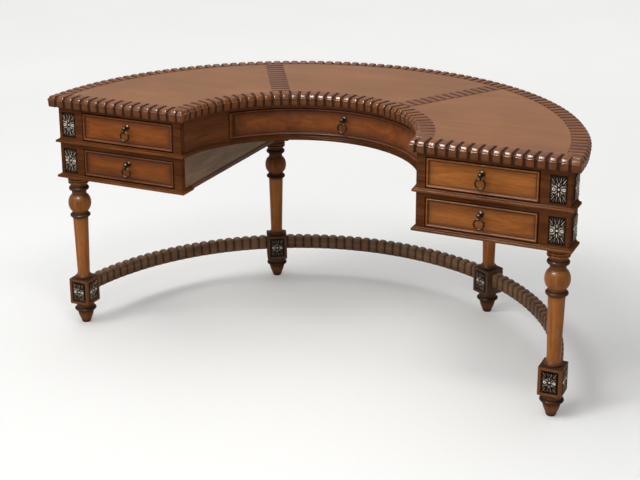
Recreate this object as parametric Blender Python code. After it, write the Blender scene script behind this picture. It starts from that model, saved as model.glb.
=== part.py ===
"""Demilune desk: crescent top, two pedestals, curved knee drawer, turned legs and ribbed stretchers.

Metres, +Z up, user's side at -Y. Plan curves share one centre, on the line of the top's front edge.
"""

import math

import bmesh
import bpy
from mathutils import Vector
from mathutils.geometry import tessellate_polygon

# Fit between neighbouring pieces
GAP = 0.0003
DRAWER_CLEARANCE = 0.0015

# Top
TOP_HEIGHT = 0.762
TOP_RADIUS = 0.838
KNEE_RADIUS = 0.354
EDGE_WIDTH = 0.055
EDGE_HEIGHT = 0.0345
GROOVE_DEPTH = 0.005
GROOVE_SHARE = 0.17
FRONT_RIDGES = 14
INNER_PLAIN = 0.022
OUTER_PLAIN = 0.032
CORNER_ROUND = 0.012
OUTER_RIDGES = 83
INNER_RIDGES = 37
PANEL_THICKNESS = 0.0032
PANEL_DROP = 0.0015
DIVIDER_WIDTH = 0.057
DIVIDER_RIDGES = 13
DIVIDER_GROOVE = 0.0015

# Case
OUTER_OVERHANG = 0.028
KNEE_OVERHANG = 0.021
FRONT_OVERHANG = 0.0205
WALL = 0.018
FRAME_THICKNESS = 0.020
UPPER_TIER = 0.1132
LOWER_TIER = 0.114
BOARD = 0.0125
TOP_RAIL = 0.0115
WAIST_RAIL = 0.0147
INNER_STILE = 0.027
CORNER_STILE = 0.0855
CENTER_DRAWER_TURN = math.radians(56.7)
MOLDING_PROJECTION = 0.010
MOLDING_FILLET = 0.0075
MOLDING_RETURN = 0.052
CORNER_DEPTH = 0.076
BOARD_LIP = 0.003

# Carved plaques, sunk into the corner stiles, the sides and the leg blocks
PLAQUE_WIDTH = 0.046
PLAQUE_HEIGHT = 0.078
BLOCK_PLAQUE_WIDTH = 0.044
BLOCK_PLAQUE_HEIGHT = 0.066
PLAQUE_SINK = 0.003
PLAQUE_RISE = 0.0025
SIDE_PLAQUE_INSET = 0.028

# Legs and stretchers
REAR_LEG_ANGLE = math.radians(60)
FRONT_LEG_INSET = 0.035
POST_WIDTH = 0.066
POST_SETBACK = 0.001
BLOCK_WIDTH = 0.068
BLOCK_BOTTOM = 0.069
BLOCK_TOP = 0.1543
GLIDE_HEIGHT = 0.004
GLIDE_RADIUS = 0.0132
FOOT_RADIUS = 0.0270
FOOT_RING_RADIUS = 0.0345
FOOT_RING_DROP = 0.0205
SHAFT_COLLAR_RADIUS = 0.0255
SHAFT_COLLAR_HEIGHT = 0.009
SHAFT_BOTTOM_RADIUS = 0.0195
SHAFT_TOP_RADIUS = 0.0240
RING_HEIGHT = 0.010
LEG_RING_RADIUS = 0.0312
LEG_NECK_RADIUS = 0.0245
BALL_WIDTH_RADIUS = 0.0359
BALL_HEIGHT = 0.055
COLLAR_RADIUS = 0.0325
COLLAR_HEIGHT = 0.025
UPPER_RING_DROP = 0.0425
BALL_DROP = 0.0920
LOWER_RING_DROP = 0.1325
TENON_RADIUS = 0.009
TENON_LENGTH = 0.009
STRETCHER_WIDTH = 0.032
STRETCHER_BOTTOM = 0.103
STRETCHER_TOP = 0.146
STRETCHER_GROOVE = 0.003
RIDGE_PITCH = 0.030

# Drawers and pulls
FRONT_THICKNESS = 0.018
FRONT_PROUD = 0.002
BEAD_EDGE = 0.002
BEAD_INSET = 0.004
FIELD_INSET = 0.014
FIELD_DEPTH = 0.005
SIDE_THICKNESS = 0.011
BOTTOM_THICKNESS = 0.005
SIDE_DROP = 0.012
BACK_CLEARANCE = 0.015
CENTER_BACK_SPACE = 0.110
PULL_RISE = 0.0155
PLATE_RADIUS = 0.0088
PLATE_THICKNESS = 0.0025
STEM_RADIUS = 0.0040
POST_REACH = 0.0165
BALL_RADIUS = 0.0078
EYE_DROP = 0.0105
EYE_RADIUS = 0.0055
EYE_HOLE = 0.0026
EYE_WIDTH = 0.0032
RING_RADIUS = 0.0142
RING_WIRE = 0.0021

# Roundness of the turned and curved pieces
TURN_STEPS = 16
ARC_STEPS = 40
SMALL_STEPS = 10

# Values that follow from the sizes above
CENTRE_Y = -TOP_RADIUS / 2
EDGE_BOTTOM = TOP_HEIGHT - EDGE_HEIGHT
CASE_TOP = EDGE_BOTTOM - GAP
TIER_HEIGHT = CASE_TOP - UPPER_TIER
BASE_HEIGHT = TIER_HEIGHT - LOWER_TIER
CASE_RADIUS = TOP_RADIUS - OUTER_OVERHANG
APRON_RADIUS = KNEE_RADIUS + KNEE_OVERHANG
FRAME_BACK = FRONT_OVERHANG + FRAME_THICKNESS
WALL_START = FRAME_BACK + GAP
FRAME_INNER_X = math.sqrt(APRON_RADIUS**2 - FRONT_OVERHANG**2)
FRAME_OUTER_X = math.sqrt(CASE_RADIUS**2 - FRAME_BACK**2)
CORNER_BACK = FRONT_OVERHANG + CORNER_DEPTH
OPENING_INNER_X = FRAME_INNER_X + INNER_STILE
OPENING_OUTER_X = FRAME_OUTER_X - CORNER_STILE
MOLDING_HEIGHT = BOARD - GAP
LOWER_OPENING = (BASE_HEIGHT + BOARD, TIER_HEIGHT - WAIST_RAIL)
UPPER_OPENING = (TIER_HEIGHT + BOARD, CASE_TOP - TOP_RAIL)
CENTER_HALF = APRON_RADIUS * math.sin(CENTER_DRAWER_TURN)
LEG_TOP = BASE_HEIGHT - GAP
LEG_RADIUS = CASE_RADIUS - POST_WIDTH / 2 - POST_SETBACK
FRONT_LEG_Y = FRONT_OVERHANG + FRONT_LEG_INSET
FRONT_LEG_X = math.sqrt(LEG_RADIUS**2 - FRONT_LEG_Y**2)
BOARD_RADIUS = TOP_RADIUS - EDGE_WIDTH
BORDER_RADIUS = KNEE_RADIUS + EDGE_WIDTH
PANEL_TOP = TOP_HEIGHT - PANEL_DROP
PANEL_BOTTOM = PANEL_TOP - PANEL_THICKNESS

# Finishes: linear colour, roughness, metallic
FINISHES = {
    "frame": ((0.150, 0.050, 0.020), 0.38, 0.0),
    "front": ((0.250, 0.080, 0.022), 0.34, 0.0),
    "panel": ((0.290, 0.150, 0.088), 0.42, 0.0),
    "edge": ((0.135, 0.045, 0.022), 0.30, 0.0),
    "leg": ((0.230, 0.090, 0.030), 0.34, 0.0),
    "dark": ((0.047, 0.028, 0.019), 0.42, 0.0),
    "inside": ((0.360, 0.220, 0.110), 0.60, 0.0),
    "brass": ((0.160, 0.110, 0.055), 0.36, 1.0),
}


def finish(name, kind):
    color, roughness, metallic = FINISHES[kind]
    material = bpy.data.materials.new(name + "_finish")
    material.use_nodes = True
    shader = material.node_tree.nodes["Principled BSDF"]
    shader.inputs["Base Color"].default_value = (*color, 1.0)
    shader.inputs["Roughness"].default_value = roughness
    shader.inputs["Metallic"].default_value = metallic
    return material


def add_object(name, points, faces, kind, origin=(0.0, 0.0, 0.0)):
    """Make one closed mesh object, with its normals outward and its origin where stated."""
    start = Vector(origin)
    mesh = bpy.data.meshes.new(name)
    mesh.from_pydata([Vector(p) - start for p in points], [], faces)
    shape = bmesh.new()
    shape.from_mesh(mesh)
    bmesh.ops.recalc_face_normals(shape, faces=shape.faces)
    shape.to_mesh(mesh)
    shape.free()
    mesh.shade_smooth()
    mesh.set_sharp_from_angle(angle=math.radians(32))
    mesh.materials.append(finish(name, kind))
    obj = bpy.data.objects.new(name, mesh)
    obj.location = start
    bpy.context.scene.collection.objects.link(obj)
    return obj


def prism(loops, low, high, place):
    """Points and faces of a flat outline, with any holes, drawn out from low to high."""
    flat = [point for loop in loops for point in loop]
    total = len(flat)
    points = [place(u, v, low) for u, v in flat] + [place(u, v, high) for u, v in flat]
    faces = []
    for tri in tessellate_polygon([[Vector((u, v, 0.0)) for u, v in loop] for loop in loops]):
        faces.append(tuple(tri))
        faces.append(tuple(total + k for k in reversed(tri)))
    first = 0
    for loop in loops:
        for k in range(len(loop)):
            a = first + k
            b = first + (k + 1) % len(loop)
            faces.append((a, b, total + b, total + a))
        first += len(loop)
    return points, faces


def sweep(rings, closed=False):
    """Points and faces of a skin over rings of equal length, capped unless it closes on itself."""
    count = len(rings[0])
    points = [p for ring in rings for p in ring]
    faces = []
    spans = len(rings) if closed else len(rings) - 1
    for i in range(spans):
        a = i * count
        b = (i + 1) % len(rings) * count
        for k in range(count):
            n = (k + 1) % count
            faces.append((a + k, a + n, b + n, b + k))
    if not closed:
        last = (len(rings) - 1) * count
        faces.append(tuple(reversed(range(count))))
        faces.append(tuple(range(last, last + count)))
    return points, faces


def upright(u, v, w):
    return (u, v, w)


def spread(first, last, steps):
    return [first + (last - first) * k / steps for k in range(steps + 1)]


def polar(radius, angle):
    return (radius * math.cos(angle), CENTRE_Y + radius * math.sin(angle))


def at_depth(depth):
    """Angle, on any radius, where a plan arc crosses a line this far behind the front edge."""
    return lambda radius: math.asin(depth / radius)


def at_width(half):
    """Angle, on any radius, where a plan arc crosses a line this far right of the middle."""
    return lambda radius: math.acos(half / radius)


def beside(angle, offset):
    """Angle, on any radius, of a line parallel to a spoke and offset from it along the arc."""
    return lambda radius: angle + math.asin(offset / radius)


def mirrored(start):
    return lambda radius: math.pi - start(radius)


def band(inner, outer, start, end, steps):
    """Plan outline between two arcs whose ends are cut by the given lines."""
    far = [polar(outer, a) for a in spread(start(outer), end(outer), steps)]
    near = [polar(inner, a) for a in spread(start(inner), end(inner), steps)]
    return far + near[::-1]


def flip(outline, side):
    """Mirror a plan outline to the left side and keep its turning sense."""
    if side > 0:
        return outline
    return [(-x, y) for x, y in reversed(outline)]


def board(name, outline, low, high, kind, holes=()):
    points, faces = prism([outline, *holes], low, high, upright)
    return add_object(name, points, faces, kind)


def circle(center, radius, steps):
    turns = spread(0.0, 2 * math.pi, steps)[:-1]
    return [(center[0] + radius * math.cos(a), center[1] + radius * math.sin(a)) for a in turns]


def ridge_stations(ridges):
    """Places along a ribbed length: a groove at each whole step and a flat crest between grooves."""
    stations = []
    for k in range(ridges):
        stations += [(k, False), (k + GROOVE_SHARE, True), (k + 1 - GROOVE_SHARE, True)]
    stations.append((ridges, False))
    return [(place / ridges, crest) for place, crest in stations]


def combine(obj, tool, operation):
    """Cut a tool out of an object or join it on, and take the tool away."""
    step = obj.modifiers.new("tool", "BOOLEAN")
    step.operation = operation
    step.solver = "EXACT"
    step.object = tool
    view = bpy.context.evaluated_depsgraph_get()
    result = bpy.data.meshes.new_from_object(obj.evaluated_get(view))
    obj.modifiers.clear()
    obj.data = result
    bpy.data.objects.remove(tool)


def carve(obj, center, out, width, height):
    """Sink a plaque into a face: an upright pocket with a raised lozenge on its floor."""
    across = Vector((-out.y, out.x, 0.0))
    rise = Vector((0.0, 0.0, 1.0))
    points = []
    for depth in (-PLAQUE_SINK, PLAQUE_SINK):
        for u, v in ((-1, -1), (1, -1), (1, 1), (-1, 1)):
            points.append(center + out * depth + across * (u * width / 2) + rise * (v * height / 2))
    points.append(center + out * (PLAQUE_RISE - PLAQUE_SINK))
    faces = [(4, 5, 6, 7)]
    for k in range(4):
        n = (k + 1) % 4
        faces.append((k, n, 4 + n, 4 + k))
        faces.append((k, n, 8))
    tool = add_object(obj.name + "_tool", points, faces, "dark")
    combine(obj, tool, "DIFFERENCE")


# Crescent top

def edge_profile(cut):
    """Edge section as distance out from the board and height, with its top and face cut back."""
    out = EDGE_WIDTH - cut
    top = TOP_HEIGHT - cut
    return [
        (0.0, EDGE_BOTTOM),
        (out - EDGE_WIDTH * 0.08, EDGE_BOTTOM),
        (out - EDGE_WIDTH * 0.03, EDGE_BOTTOM + EDGE_HEIGHT * 0.10),
        (out, EDGE_BOTTOM + EDGE_HEIGHT * 0.66),
        (out - EDGE_WIDTH * 0.065, top - EDGE_HEIGHT * 0.24),
        (out - EDGE_WIDTH * 0.14, top - EDGE_HEIGHT * 0.06),
        (out - EDGE_WIDTH * 0.24, top),
        (0.0, top),
    ]


def curved_edge(name, base, outward, ridges):
    """Ribbed edge along an arc, starting and ending behind the straight front ends."""
    start = at_depth(EDGE_WIDTH + GAP)
    rings = []
    for t, crest in ridge_stations(ridges):
        ring = []
        for out, height in edge_profile(0.0 if crest else GROOVE_DEPTH):
            radius = base + outward * out
            first = start(radius)
            ring.append((*polar(radius, first + (math.pi - 2 * first) * t), height))
        rings.append(ring)
    points, faces = sweep(rings)
    add_object(name, points, faces, "edge")


def straight_edge(name, side):
    """Front end of the top: ribs between two plain rounded corners."""
    first = KNEE_RADIUS + INNER_PLAIN
    last = TOP_RADIUS - OUTER_PLAIN
    stations = [(KNEE_RADIUS, CORNER_ROUND / 2), (KNEE_RADIUS + INNER_PLAIN / 2, 0.0)]
    for t, crest in ridge_stations(FRONT_RIDGES):
        stations.append((first + (last - first) * t, 0.0 if crest else GROOVE_DEPTH))
    stations += [(last + OUTER_PLAIN * 0.3, 0.0), (last + OUTER_PLAIN * 0.7, CORNER_ROUND * 0.25)]
    stations.append((TOP_RADIUS, CORNER_ROUND))
    rings = []
    for x, cut in stations:
        rings.append([(side * x, CENTRE_Y + EDGE_WIDTH - out, height) for out, height in edge_profile(cut)])
    points, faces = sweep(rings)
    add_object(name, points, faces, "edge")


def build_top():
    inner = BORDER_RADIUS + GAP
    outer = BOARD_RADIUS - GAP
    front = at_depth(EDGE_WIDTH + GAP)
    outline = band(inner, outer, front, mirrored(front), ARC_STEPS)
    board("top_board", outline, EDGE_BOTTOM, PANEL_BOTTOM - GAP, "inside")

    half = DIVIDER_WIDTH / 2 + GAP
    before = beside(REAR_LEG_ANGLE, -half)
    after = beside(REAR_LEG_ANGLE, half)
    side_panel = band(inner, outer, front, before, ARC_STEPS // 3)
    board("panel_right", side_panel, PANEL_BOTTOM, PANEL_TOP, "panel")
    board("panel_left", flip(side_panel, -1), PANEL_BOTTOM, PANEL_TOP, "panel")
    middle = band(inner, outer, after, mirrored(after), ARC_STEPS // 3)
    board("panel_center", middle, PANEL_BOTTOM, PANEL_TOP, "panel")

    low = math.sqrt(inner**2 - (DIVIDER_WIDTH / 2) ** 2) + DIVIDER_WIDTH**2 / (4 * inner)
    high = math.sqrt(outer**2 - (DIVIDER_WIDTH / 2) ** 2)
    for name, angle in (("divider_right", REAR_LEG_ANGLE), ("divider_left", math.pi - REAR_LEG_ANGLE)):
        section = [(high, PANEL_BOTTOM), (low, PANEL_BOTTOM)]
        for t, crest in ridge_stations(DIVIDER_RIDGES):
            section.append((low + (high - low) * t, TOP_HEIGHT - (0.0 if crest else DIVIDER_GROOVE)))

        def across(u, v, w, angle=angle):
            x, y = polar(u, angle)
            return (x - w * math.sin(angle), y + w * math.cos(angle), v)

        points, faces = prism([section], -DIVIDER_WIDTH / 2, DIVIDER_WIDTH / 2, across)
        add_object(name, points, faces, "edge")

    curved_edge("edge_outer", BOARD_RADIUS, 1, OUTER_RIDGES)
    curved_edge("edge_inner", BORDER_RADIUS, -1, INNER_RIDGES)
    straight_edge("edge_front_right", 1)
    straight_edge("edge_front_left", -1)


# Case of the upper tier and the two pedestals

def molding_face(low):
    """Molding section from its top down, as distance out from the case and height."""
    return [
        (MOLDING_PROJECTION * 0.15, low + MOLDING_HEIGHT),
        (MOLDING_PROJECTION * 0.4, low + MOLDING_FILLET + (MOLDING_HEIGHT - MOLDING_FILLET) * 0.35),
        (MOLDING_PROJECTION, low + MOLDING_FILLET),
        (MOLDING_PROJECTION, low),
    ]


def molding(name, path, low):
    """Cove and fillet along a plan path, outside it, mitred at its corners and square at its ends."""
    profile = [(0.0, low + MOLDING_HEIGHT), *molding_face(low), (0.0, low)]
    rings = []
    for k, (x, y) in enumerate(path):
        before = Vector((x, y)) - Vector(path[k - 1])
        after = Vector(path[(k + 1) % len(path)]) - Vector((x, y))
        if k == 0:
            before = after
        if k == len(path) - 1:
            after = before
        one = Vector((before.y, -before.x)).normalized()
        two = Vector((after.y, -after.x)).normalized()
        miter = (one + two) / (1.0 + one.dot(two))
        rings.append([(x + miter.x * (GAP + out), y + miter.y * (GAP + out), z) for out, z in profile])
    points, faces = sweep(rings)
    add_object(name, points, faces, "frame")


def post_frame(side):
    """Centre, outward spoke and forward direction of a rear leg and of the post over it."""
    spoke = Vector((math.cos(REAR_LEG_ANGLE), math.sin(REAR_LEG_ANGLE)))
    forward = Vector((math.sin(REAR_LEG_ANGLE), -math.cos(REAR_LEG_ANGLE)))
    center = Vector((0.0, CENTRE_Y)) + spoke * LEG_RADIUS
    if side < 0:
        center.x, spoke.x, forward.x = -center.x, -spoke.x, -forward.x
    return center, spoke, forward


def on_post_face(x, clear):
    """Point at this x on the knee side of the right rear post, a clearance in front of it."""
    center, spoke, forward = post_frame(1)
    near = center - spoke * (POST_WIDTH / 2 + clear)
    return near + forward * ((x - near.x) / forward.x)


def build_face_frame(name, side):
    outer = [(FRAME_INNER_X, BASE_HEIGHT), (FRAME_OUTER_X, BASE_HEIGHT)]
    outer += [(FRAME_OUTER_X, CASE_TOP), (FRAME_INNER_X, CASE_TOP)]
    holes = []
    for low, high in (LOWER_OPENING, UPPER_OPENING):
        hole = [(OPENING_INNER_X, low), (OPENING_INNER_X, high)]
        hole += [(OPENING_OUTER_X, high), (OPENING_OUTER_X, low)]
        holes.append(hole)
    points, faces = prism(
        [outer, *holes], FRONT_OVERHANG, FRAME_BACK, lambda u, v, w: (side * u, CENTRE_Y + w, v)
    )
    frame = add_object(name, points, faces, "frame")
    for low, high in (LOWER_OPENING, UPPER_OPENING):
        center = Vector((side * FRONT_LEG_X, CENTRE_Y + FRONT_OVERHANG, (low + high) / 2))
        carve(frame, center, Vector((0.0, -1.0, 0.0)), PLAQUE_WIDTH, PLAQUE_HEIGHT)


def corner_side():
    """Flat outer side of a square front corner, in plan from front to back."""
    return [(FRAME_OUTER_X, CENTRE_Y + WALL_START), (FRAME_OUTER_X, CENTRE_Y + CORNER_BACK)]


def carve_side(obj, side, opening):
    """Sink a plaque into the flat outer side of a front corner."""
    depth = WALL_START + SIDE_PLAQUE_INSET
    center = Vector((side * FRAME_OUTER_X, CENTRE_Y + depth, (opening[0] + opening[1]) / 2))
    carve(obj, center, Vector((side, 0.0, 0.0)), PLAQUE_WIDTH, PLAQUE_HEIGHT)


def build_upper_tier():
    start = at_depth(WALL_START)
    inside = CASE_RADIUS - WALL
    first = at_depth(CORNER_BACK)(CASE_RADIUS)
    outline = corner_side() + [polar(CASE_RADIUS, a) for a in spread(first, math.pi - first, ARC_STEPS)]
    outline += flip(corner_side(), -1)
    outline += [polar(inside, a) for a in spread(math.pi - start(inside), start(inside), ARC_STEPS)]
    apron = board("outer_apron", outline, TIER_HEIGHT, CASE_TOP, "frame")
    carve_side(apron, 1, UPPER_OPENING)
    carve_side(apron, -1, UPPER_OPENING)

    opening = at_width(CENTER_HALF)
    knee = band(APRON_RADIUS, APRON_RADIUS + WALL, start, opening, ARC_STEPS // 4)
    board("knee_apron_right", knee, TIER_HEIGHT, CASE_TOP, "dark")
    board("knee_apron_left", flip(knee, -1), TIER_HEIGHT, CASE_TOP, "dark")

    step = at_width(CENTER_HALF - GAP)
    rail = band(APRON_RADIUS, APRON_RADIUS + WALL, step, mirrored(step), ARC_STEPS // 2)
    board("knee_rail", rail, UPPER_OPENING[1], CASE_TOP, "dark")

    far = CASE_RADIUS - WALL - GAP
    near = APRON_RADIUS + WALL + GAP
    outline = [polar(far, a) for a in spread(start(far), math.pi - start(far), ARC_STEPS)]
    outline += [polar(near, math.pi - a) for a in spread(start(near), step(near), ARC_STEPS // 4)]
    lip = APRON_RADIUS
    outline += [polar(lip, a) for a in spread(math.pi - step(lip), step(lip), ARC_STEPS // 2)]
    outline += [polar(near, a) for a in spread(step(near), start(near), ARC_STEPS // 4)]
    board("tier_board", outline, TIER_HEIGHT, TIER_HEIGHT + BOARD, "inside")

    outer = [(FRAME_OUTER_X, CENTRE_Y + FRONT_OVERHANG), (FRAME_OUTER_X, CENTRE_Y + CORNER_BACK)]
    narrow = at_depth(FRONT_OVERHANG)(APRON_RADIUS)
    first = start(APRON_RADIUS)
    last = opening(APRON_RADIUS)
    path = flip(outer, -1)
    path.append(polar(APRON_RADIUS, math.pi - narrow))
    path += [polar(APRON_RADIUS, math.pi - a) for a in spread(first, last, ARC_STEPS // 4)]
    path += [polar(APRON_RADIUS, a) for a in spread(math.pi - last, last, ARC_STEPS // 2)[1:-1]]
    path += [polar(APRON_RADIUS, a) for a in spread(last, first, ARC_STEPS // 4)]
    path.append(polar(APRON_RADIUS, narrow))
    molding("waist_molding", path + outer, TIER_HEIGHT)


def build_pedestal(word, side):
    center, spoke, forward = post_frame(1)
    half = POST_WIDTH / 2
    top = TIER_HEIGHT - GAP
    front = at_depth(WALL_START)
    rear = beside(REAR_LEG_ANGLE, -half - GAP)

    build_face_frame("face_frame_" + word, side)

    wall_x = FRAME_INNER_X
    inside_x = wall_x + WALL
    wall = [(wall_x, CENTRE_Y + WALL_START), (inside_x, CENTRE_Y + WALL_START)]
    wall += [tuple(on_post_face(inside_x, GAP)), tuple(on_post_face(wall_x, GAP))]
    board("inner_wall_" + word, flip(wall, side), BASE_HEIGHT + BOARD + GAP, top, "dark")

    inside = CASE_RADIUS - WALL
    first = at_depth(CORNER_BACK)(CASE_RADIUS)
    curve = corner_side()
    curve += [polar(CASE_RADIUS, a) for a in spread(first, rear(CASE_RADIUS), ARC_STEPS // 3)]
    curve += [polar(inside, a) for a in spread(rear(inside), front(inside), ARC_STEPS // 3)]
    outer_side = board("outer_side_" + word, flip(curve, side), BASE_HEIGHT, top, "frame")
    carve_side(outer_side, side, LOWER_OPENING)

    limit = CASE_RADIUS - WALL - GAP
    lip_x = wall_x - BOARD_LIP
    lip_y = CENTRE_Y + max(WALL_START, FRONT_OVERHANG + MOLDING_RETURN) + GAP
    floor = [tuple(on_post_face(lip_x, GAP)), (lip_x, lip_y), (wall_x, lip_y)]
    floor.append((wall_x, CENTRE_Y + WALL_START))
    floor += [polar(limit, a) for a in spread(front(limit), rear(limit), ARC_STEPS // 3)]
    floor.append(tuple(center - spoke * (half + GAP) + forward * (half + GAP)))
    hole = circle((FRONT_LEG_X, CENTRE_Y + FRONT_LEG_Y), TENON_RADIUS + GAP, TURN_STEPS)
    holes = [flip(hole, side)]
    board("bottom_board_" + word, flip(floor, side), BASE_HEIGHT, BASE_HEIGHT + BOARD, "inside", holes)

    path = [(wall_x, CENTRE_Y + FRONT_OVERHANG + MOLDING_RETURN), (wall_x, CENTRE_Y + FRONT_OVERHANG)]
    path += [(FRAME_OUTER_X, CENTRE_Y + FRONT_OVERHANG), (FRAME_OUTER_X, CENTRE_Y + CORNER_BACK)]
    molding("base_molding_" + word, flip(path, side), BASE_HEIGHT)

    build_rear_post("rear_post_" + word, side)


# Turned work: rings of points that are round or square in plan

def plan_ring(center, turn, size, square, height):
    ring = []
    for k in range(TURN_STEPS):
        angle = 2 * math.pi * k / TURN_STEPS
        c, s = math.cos(angle), math.sin(angle)
        reach = size / max(abs(c), abs(s)) if square else size
        x, y = reach * c, reach * s
        ring.append(
            (
                center[0] + x * math.cos(turn) - y * math.sin(turn),
                center[1] + x * math.sin(turn) + y * math.cos(turn),
                height,
            )
        )
    return ring


def build_rear_post(name, side):
    """Square post, molded at the foot of its two free sides, with a socket for the rear leg's tenon."""
    center, spoke, forward = post_frame(side)
    turn = math.atan2(spoke.y, spoke.x)
    socket = TENON_RADIUS + GAP
    half = POST_WIDTH / 2

    def molded_ring(out, height):
        ring = []
        for x, y, z in plan_ring(center, turn, half, True, height):
            reach = Vector((x, y)) - center
            spot = Vector((x, y))
            if reach.dot(spoke) > half * 0.99:
                spot += spoke * out
            if reach.dot(forward) < half * -0.99:
                spot -= forward * out
            ring.append((*spot, z))
        return ring

    rings = [molded_ring(0.0, TIER_HEIGHT - GAP), molded_ring(0.0, BASE_HEIGHT + MOLDING_HEIGHT)]
    rings += [molded_ring(out, height) for out, height in molding_face(BASE_HEIGHT)[1:]]
    rings += [
        plan_ring(center, turn, socket, False, BASE_HEIGHT),
        plan_ring(center, turn, socket, False, BASE_HEIGHT + TENON_LENGTH + 2 * GAP),
    ]
    points, faces = sweep(rings)
    add_object(name, points, faces, "dark")


def ring_outline(middle, radius, neck):
    """Turned ring: up from the neck, over a short crown and back."""
    half = RING_HEIGHT / 2
    return [
        (middle - half, neck),
        (middle - half * 0.6, radius * 0.97),
        (middle, radius),
        (middle + half * 0.6, radius * 0.97),
        (middle + half, neck),
    ]


def build_leg(name, center, turn, carved):
    """Glide, foot, ring, square block, tapered shaft, ring, ball, ring and collars, then the tenon."""
    block = BLOCK_WIDTH / 2
    foot = BLOCK_BOTTOM - FOOT_RING_DROP
    ball = LEG_TOP - BALL_DROP
    lower = LEG_TOP - LOWER_RING_DROP
    upper = LEG_TOP - UPPER_RING_DROP
    collar = LEG_TOP - COLLAR_HEIGHT
    outline = [(0.0, GLIDE_RADIUS), (GLIDE_HEIGHT, GLIDE_RADIUS * 1.1)]
    outline += [(foot * 0.45, FOOT_RADIUS * 0.76)]
    outline += ring_outline(foot, FOOT_RING_RADIUS, FOOT_RADIUS)
    outline += [(BLOCK_BOTTOM, FOOT_RADIUS)]
    shaft = [(BLOCK_TOP, SHAFT_COLLAR_RADIUS), (BLOCK_TOP + SHAFT_COLLAR_HEIGHT, SHAFT_COLLAR_RADIUS)]
    shaft += [(BLOCK_TOP + SHAFT_COLLAR_HEIGHT * 1.3, SHAFT_BOTTOM_RADIUS)]
    shaft += ring_outline(lower, LEG_RING_RADIUS, SHAFT_TOP_RADIUS)
    for t in (-0.9, -0.55, 0.0, 0.55, 0.9):
        width = LEG_NECK_RADIUS + (BALL_WIDTH_RADIUS - LEG_NECK_RADIUS) * math.sqrt(1.0 - t * t)
        shaft.append((ball + t * BALL_HEIGHT / 2, width))
    shaft += ring_outline(upper, LEG_RING_RADIUS, LEG_NECK_RADIUS)
    shaft += [(collar, COLLAR_RADIUS * 0.85), (collar + RING_HEIGHT * 0.4, COLLAR_RADIUS * 0.98)]
    shaft += [(LEG_TOP, COLLAR_RADIUS), (LEG_TOP, TENON_RADIUS), (LEG_TOP + TENON_LENGTH, TENON_RADIUS)]
    rings = [plan_ring(center, turn, radius, False, height) for height, radius in outline]
    rings += [plan_ring(center, turn, block, True, height) for height in (BLOCK_BOTTOM, BLOCK_TOP)]
    rings += [plan_ring(center, turn, radius, False, height) for height, radius in shaft]
    points, faces = sweep(rings)
    leg = add_object(name, points, faces, "leg")
    for angle in carved:
        out = Vector((math.cos(turn + angle), math.sin(turn + angle), 0.0))
        middle = Vector((center[0], center[1], (BLOCK_BOTTOM + BLOCK_TOP) / 2)) + out * block
        carve(leg, middle, out, BLOCK_PLAQUE_WIDTH, BLOCK_PLAQUE_HEIGHT)


def build_stretcher(name, start, end):
    """Ribbed curved bar between two leg blocks, its ends cut parallel to the block faces."""
    middle = LEG_RADIUS
    length = middle * (end(middle) - start(middle))
    rings = []
    for t, crest in ridge_stations(round(length / RIDGE_PITCH)):
        cut = 0.0 if crest else STRETCHER_GROOVE
        half = STRETCHER_WIDTH / 2 - cut
        top = STRETCHER_TOP - cut
        round_over = STRETCHER_WIDTH * 0.2
        section = [(-half, STRETCHER_BOTTOM), (half, STRETCHER_BOTTOM), (half, top - round_over)]
        section += [(half - round_over, top), (round_over - half, top), (-half, top - round_over)]
        ring = []
        for out, height in section:
            radius = middle + out
            ring.append((*polar(radius, start(radius) + (end(radius) - start(radius)) * t), height))
        rings.append(ring)
    points, faces = sweep(rings)
    add_object(name, points, faces, "dark")


def build_legs():
    for word, side in (("right", 1), ("left", -1)):
        place = (side * FRONT_LEG_X, CENTRE_Y + FRONT_LEG_Y)
        build_leg("leg_front_" + word, place, 0.0, (0.0, math.pi, -math.pi / 2))
        center, spoke, _ = post_frame(side)
        build_leg("leg_rear_" + word, center, math.atan2(spoke.y, spoke.x), (0.0, math.pi))
    clear = BLOCK_WIDTH / 2 + GAP
    front = at_depth(FRONT_LEG_Y + clear)
    before = beside(REAR_LEG_ANGLE, -clear)
    after = beside(REAR_LEG_ANGLE, clear)
    build_stretcher("stretcher_right", front, before)
    build_stretcher("stretcher_rear", after, mirrored(after))
    build_stretcher("stretcher_left", mirrored(before), mirrored(front))


# Drawers and their ring pulls

def drawer_front(name, stations, low, high, surface, origin):
    """Fielded front: bead round the rim and a sunk field, straight or curved in plan.

    stations are (x, level) with level 0 on the rim, 1 on the bead and 2 in the field.
    """
    depth = (BEAD_EDGE, 0.0, FIELD_DEPTH)
    rows = [(low, 0), (low + BEAD_INSET, 1), (low + FIELD_INSET, 2)]
    rows += [(high - FIELD_INSET, 2), (high - BEAD_INSET, 1), (high, 0)]
    rings = []
    for x, level in stations:
        ring = [(x, surface(x, depth[min(level, mark)]), z) for z, mark in rows]
        ring.append((x, surface(x, FRONT_THICKNESS), high))
        ring.append((x, surface(x, FRONT_THICKNESS), low))
        rings.append(ring)
    points, faces = sweep(rings)
    add_object(name, points, faces, "front", origin)


def rim_stations(left, right, steps):
    """Stations across a front, closer together towards the ends when there are many."""
    half = (right - left) / 2 - FIELD_INSET
    turn = math.asin(half / APRON_RADIUS)
    middle = (left + right) / 2
    field = [middle + half * math.sin(a) / math.sin(turn) for a in spread(-turn, turn, steps)]
    stations = [(left, 0), (left + BEAD_INSET, 1)]
    stations += [(x, 2) for x in field]
    stations += [(right - BEAD_INSET, 1), (right, 0)]
    return stations


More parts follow.
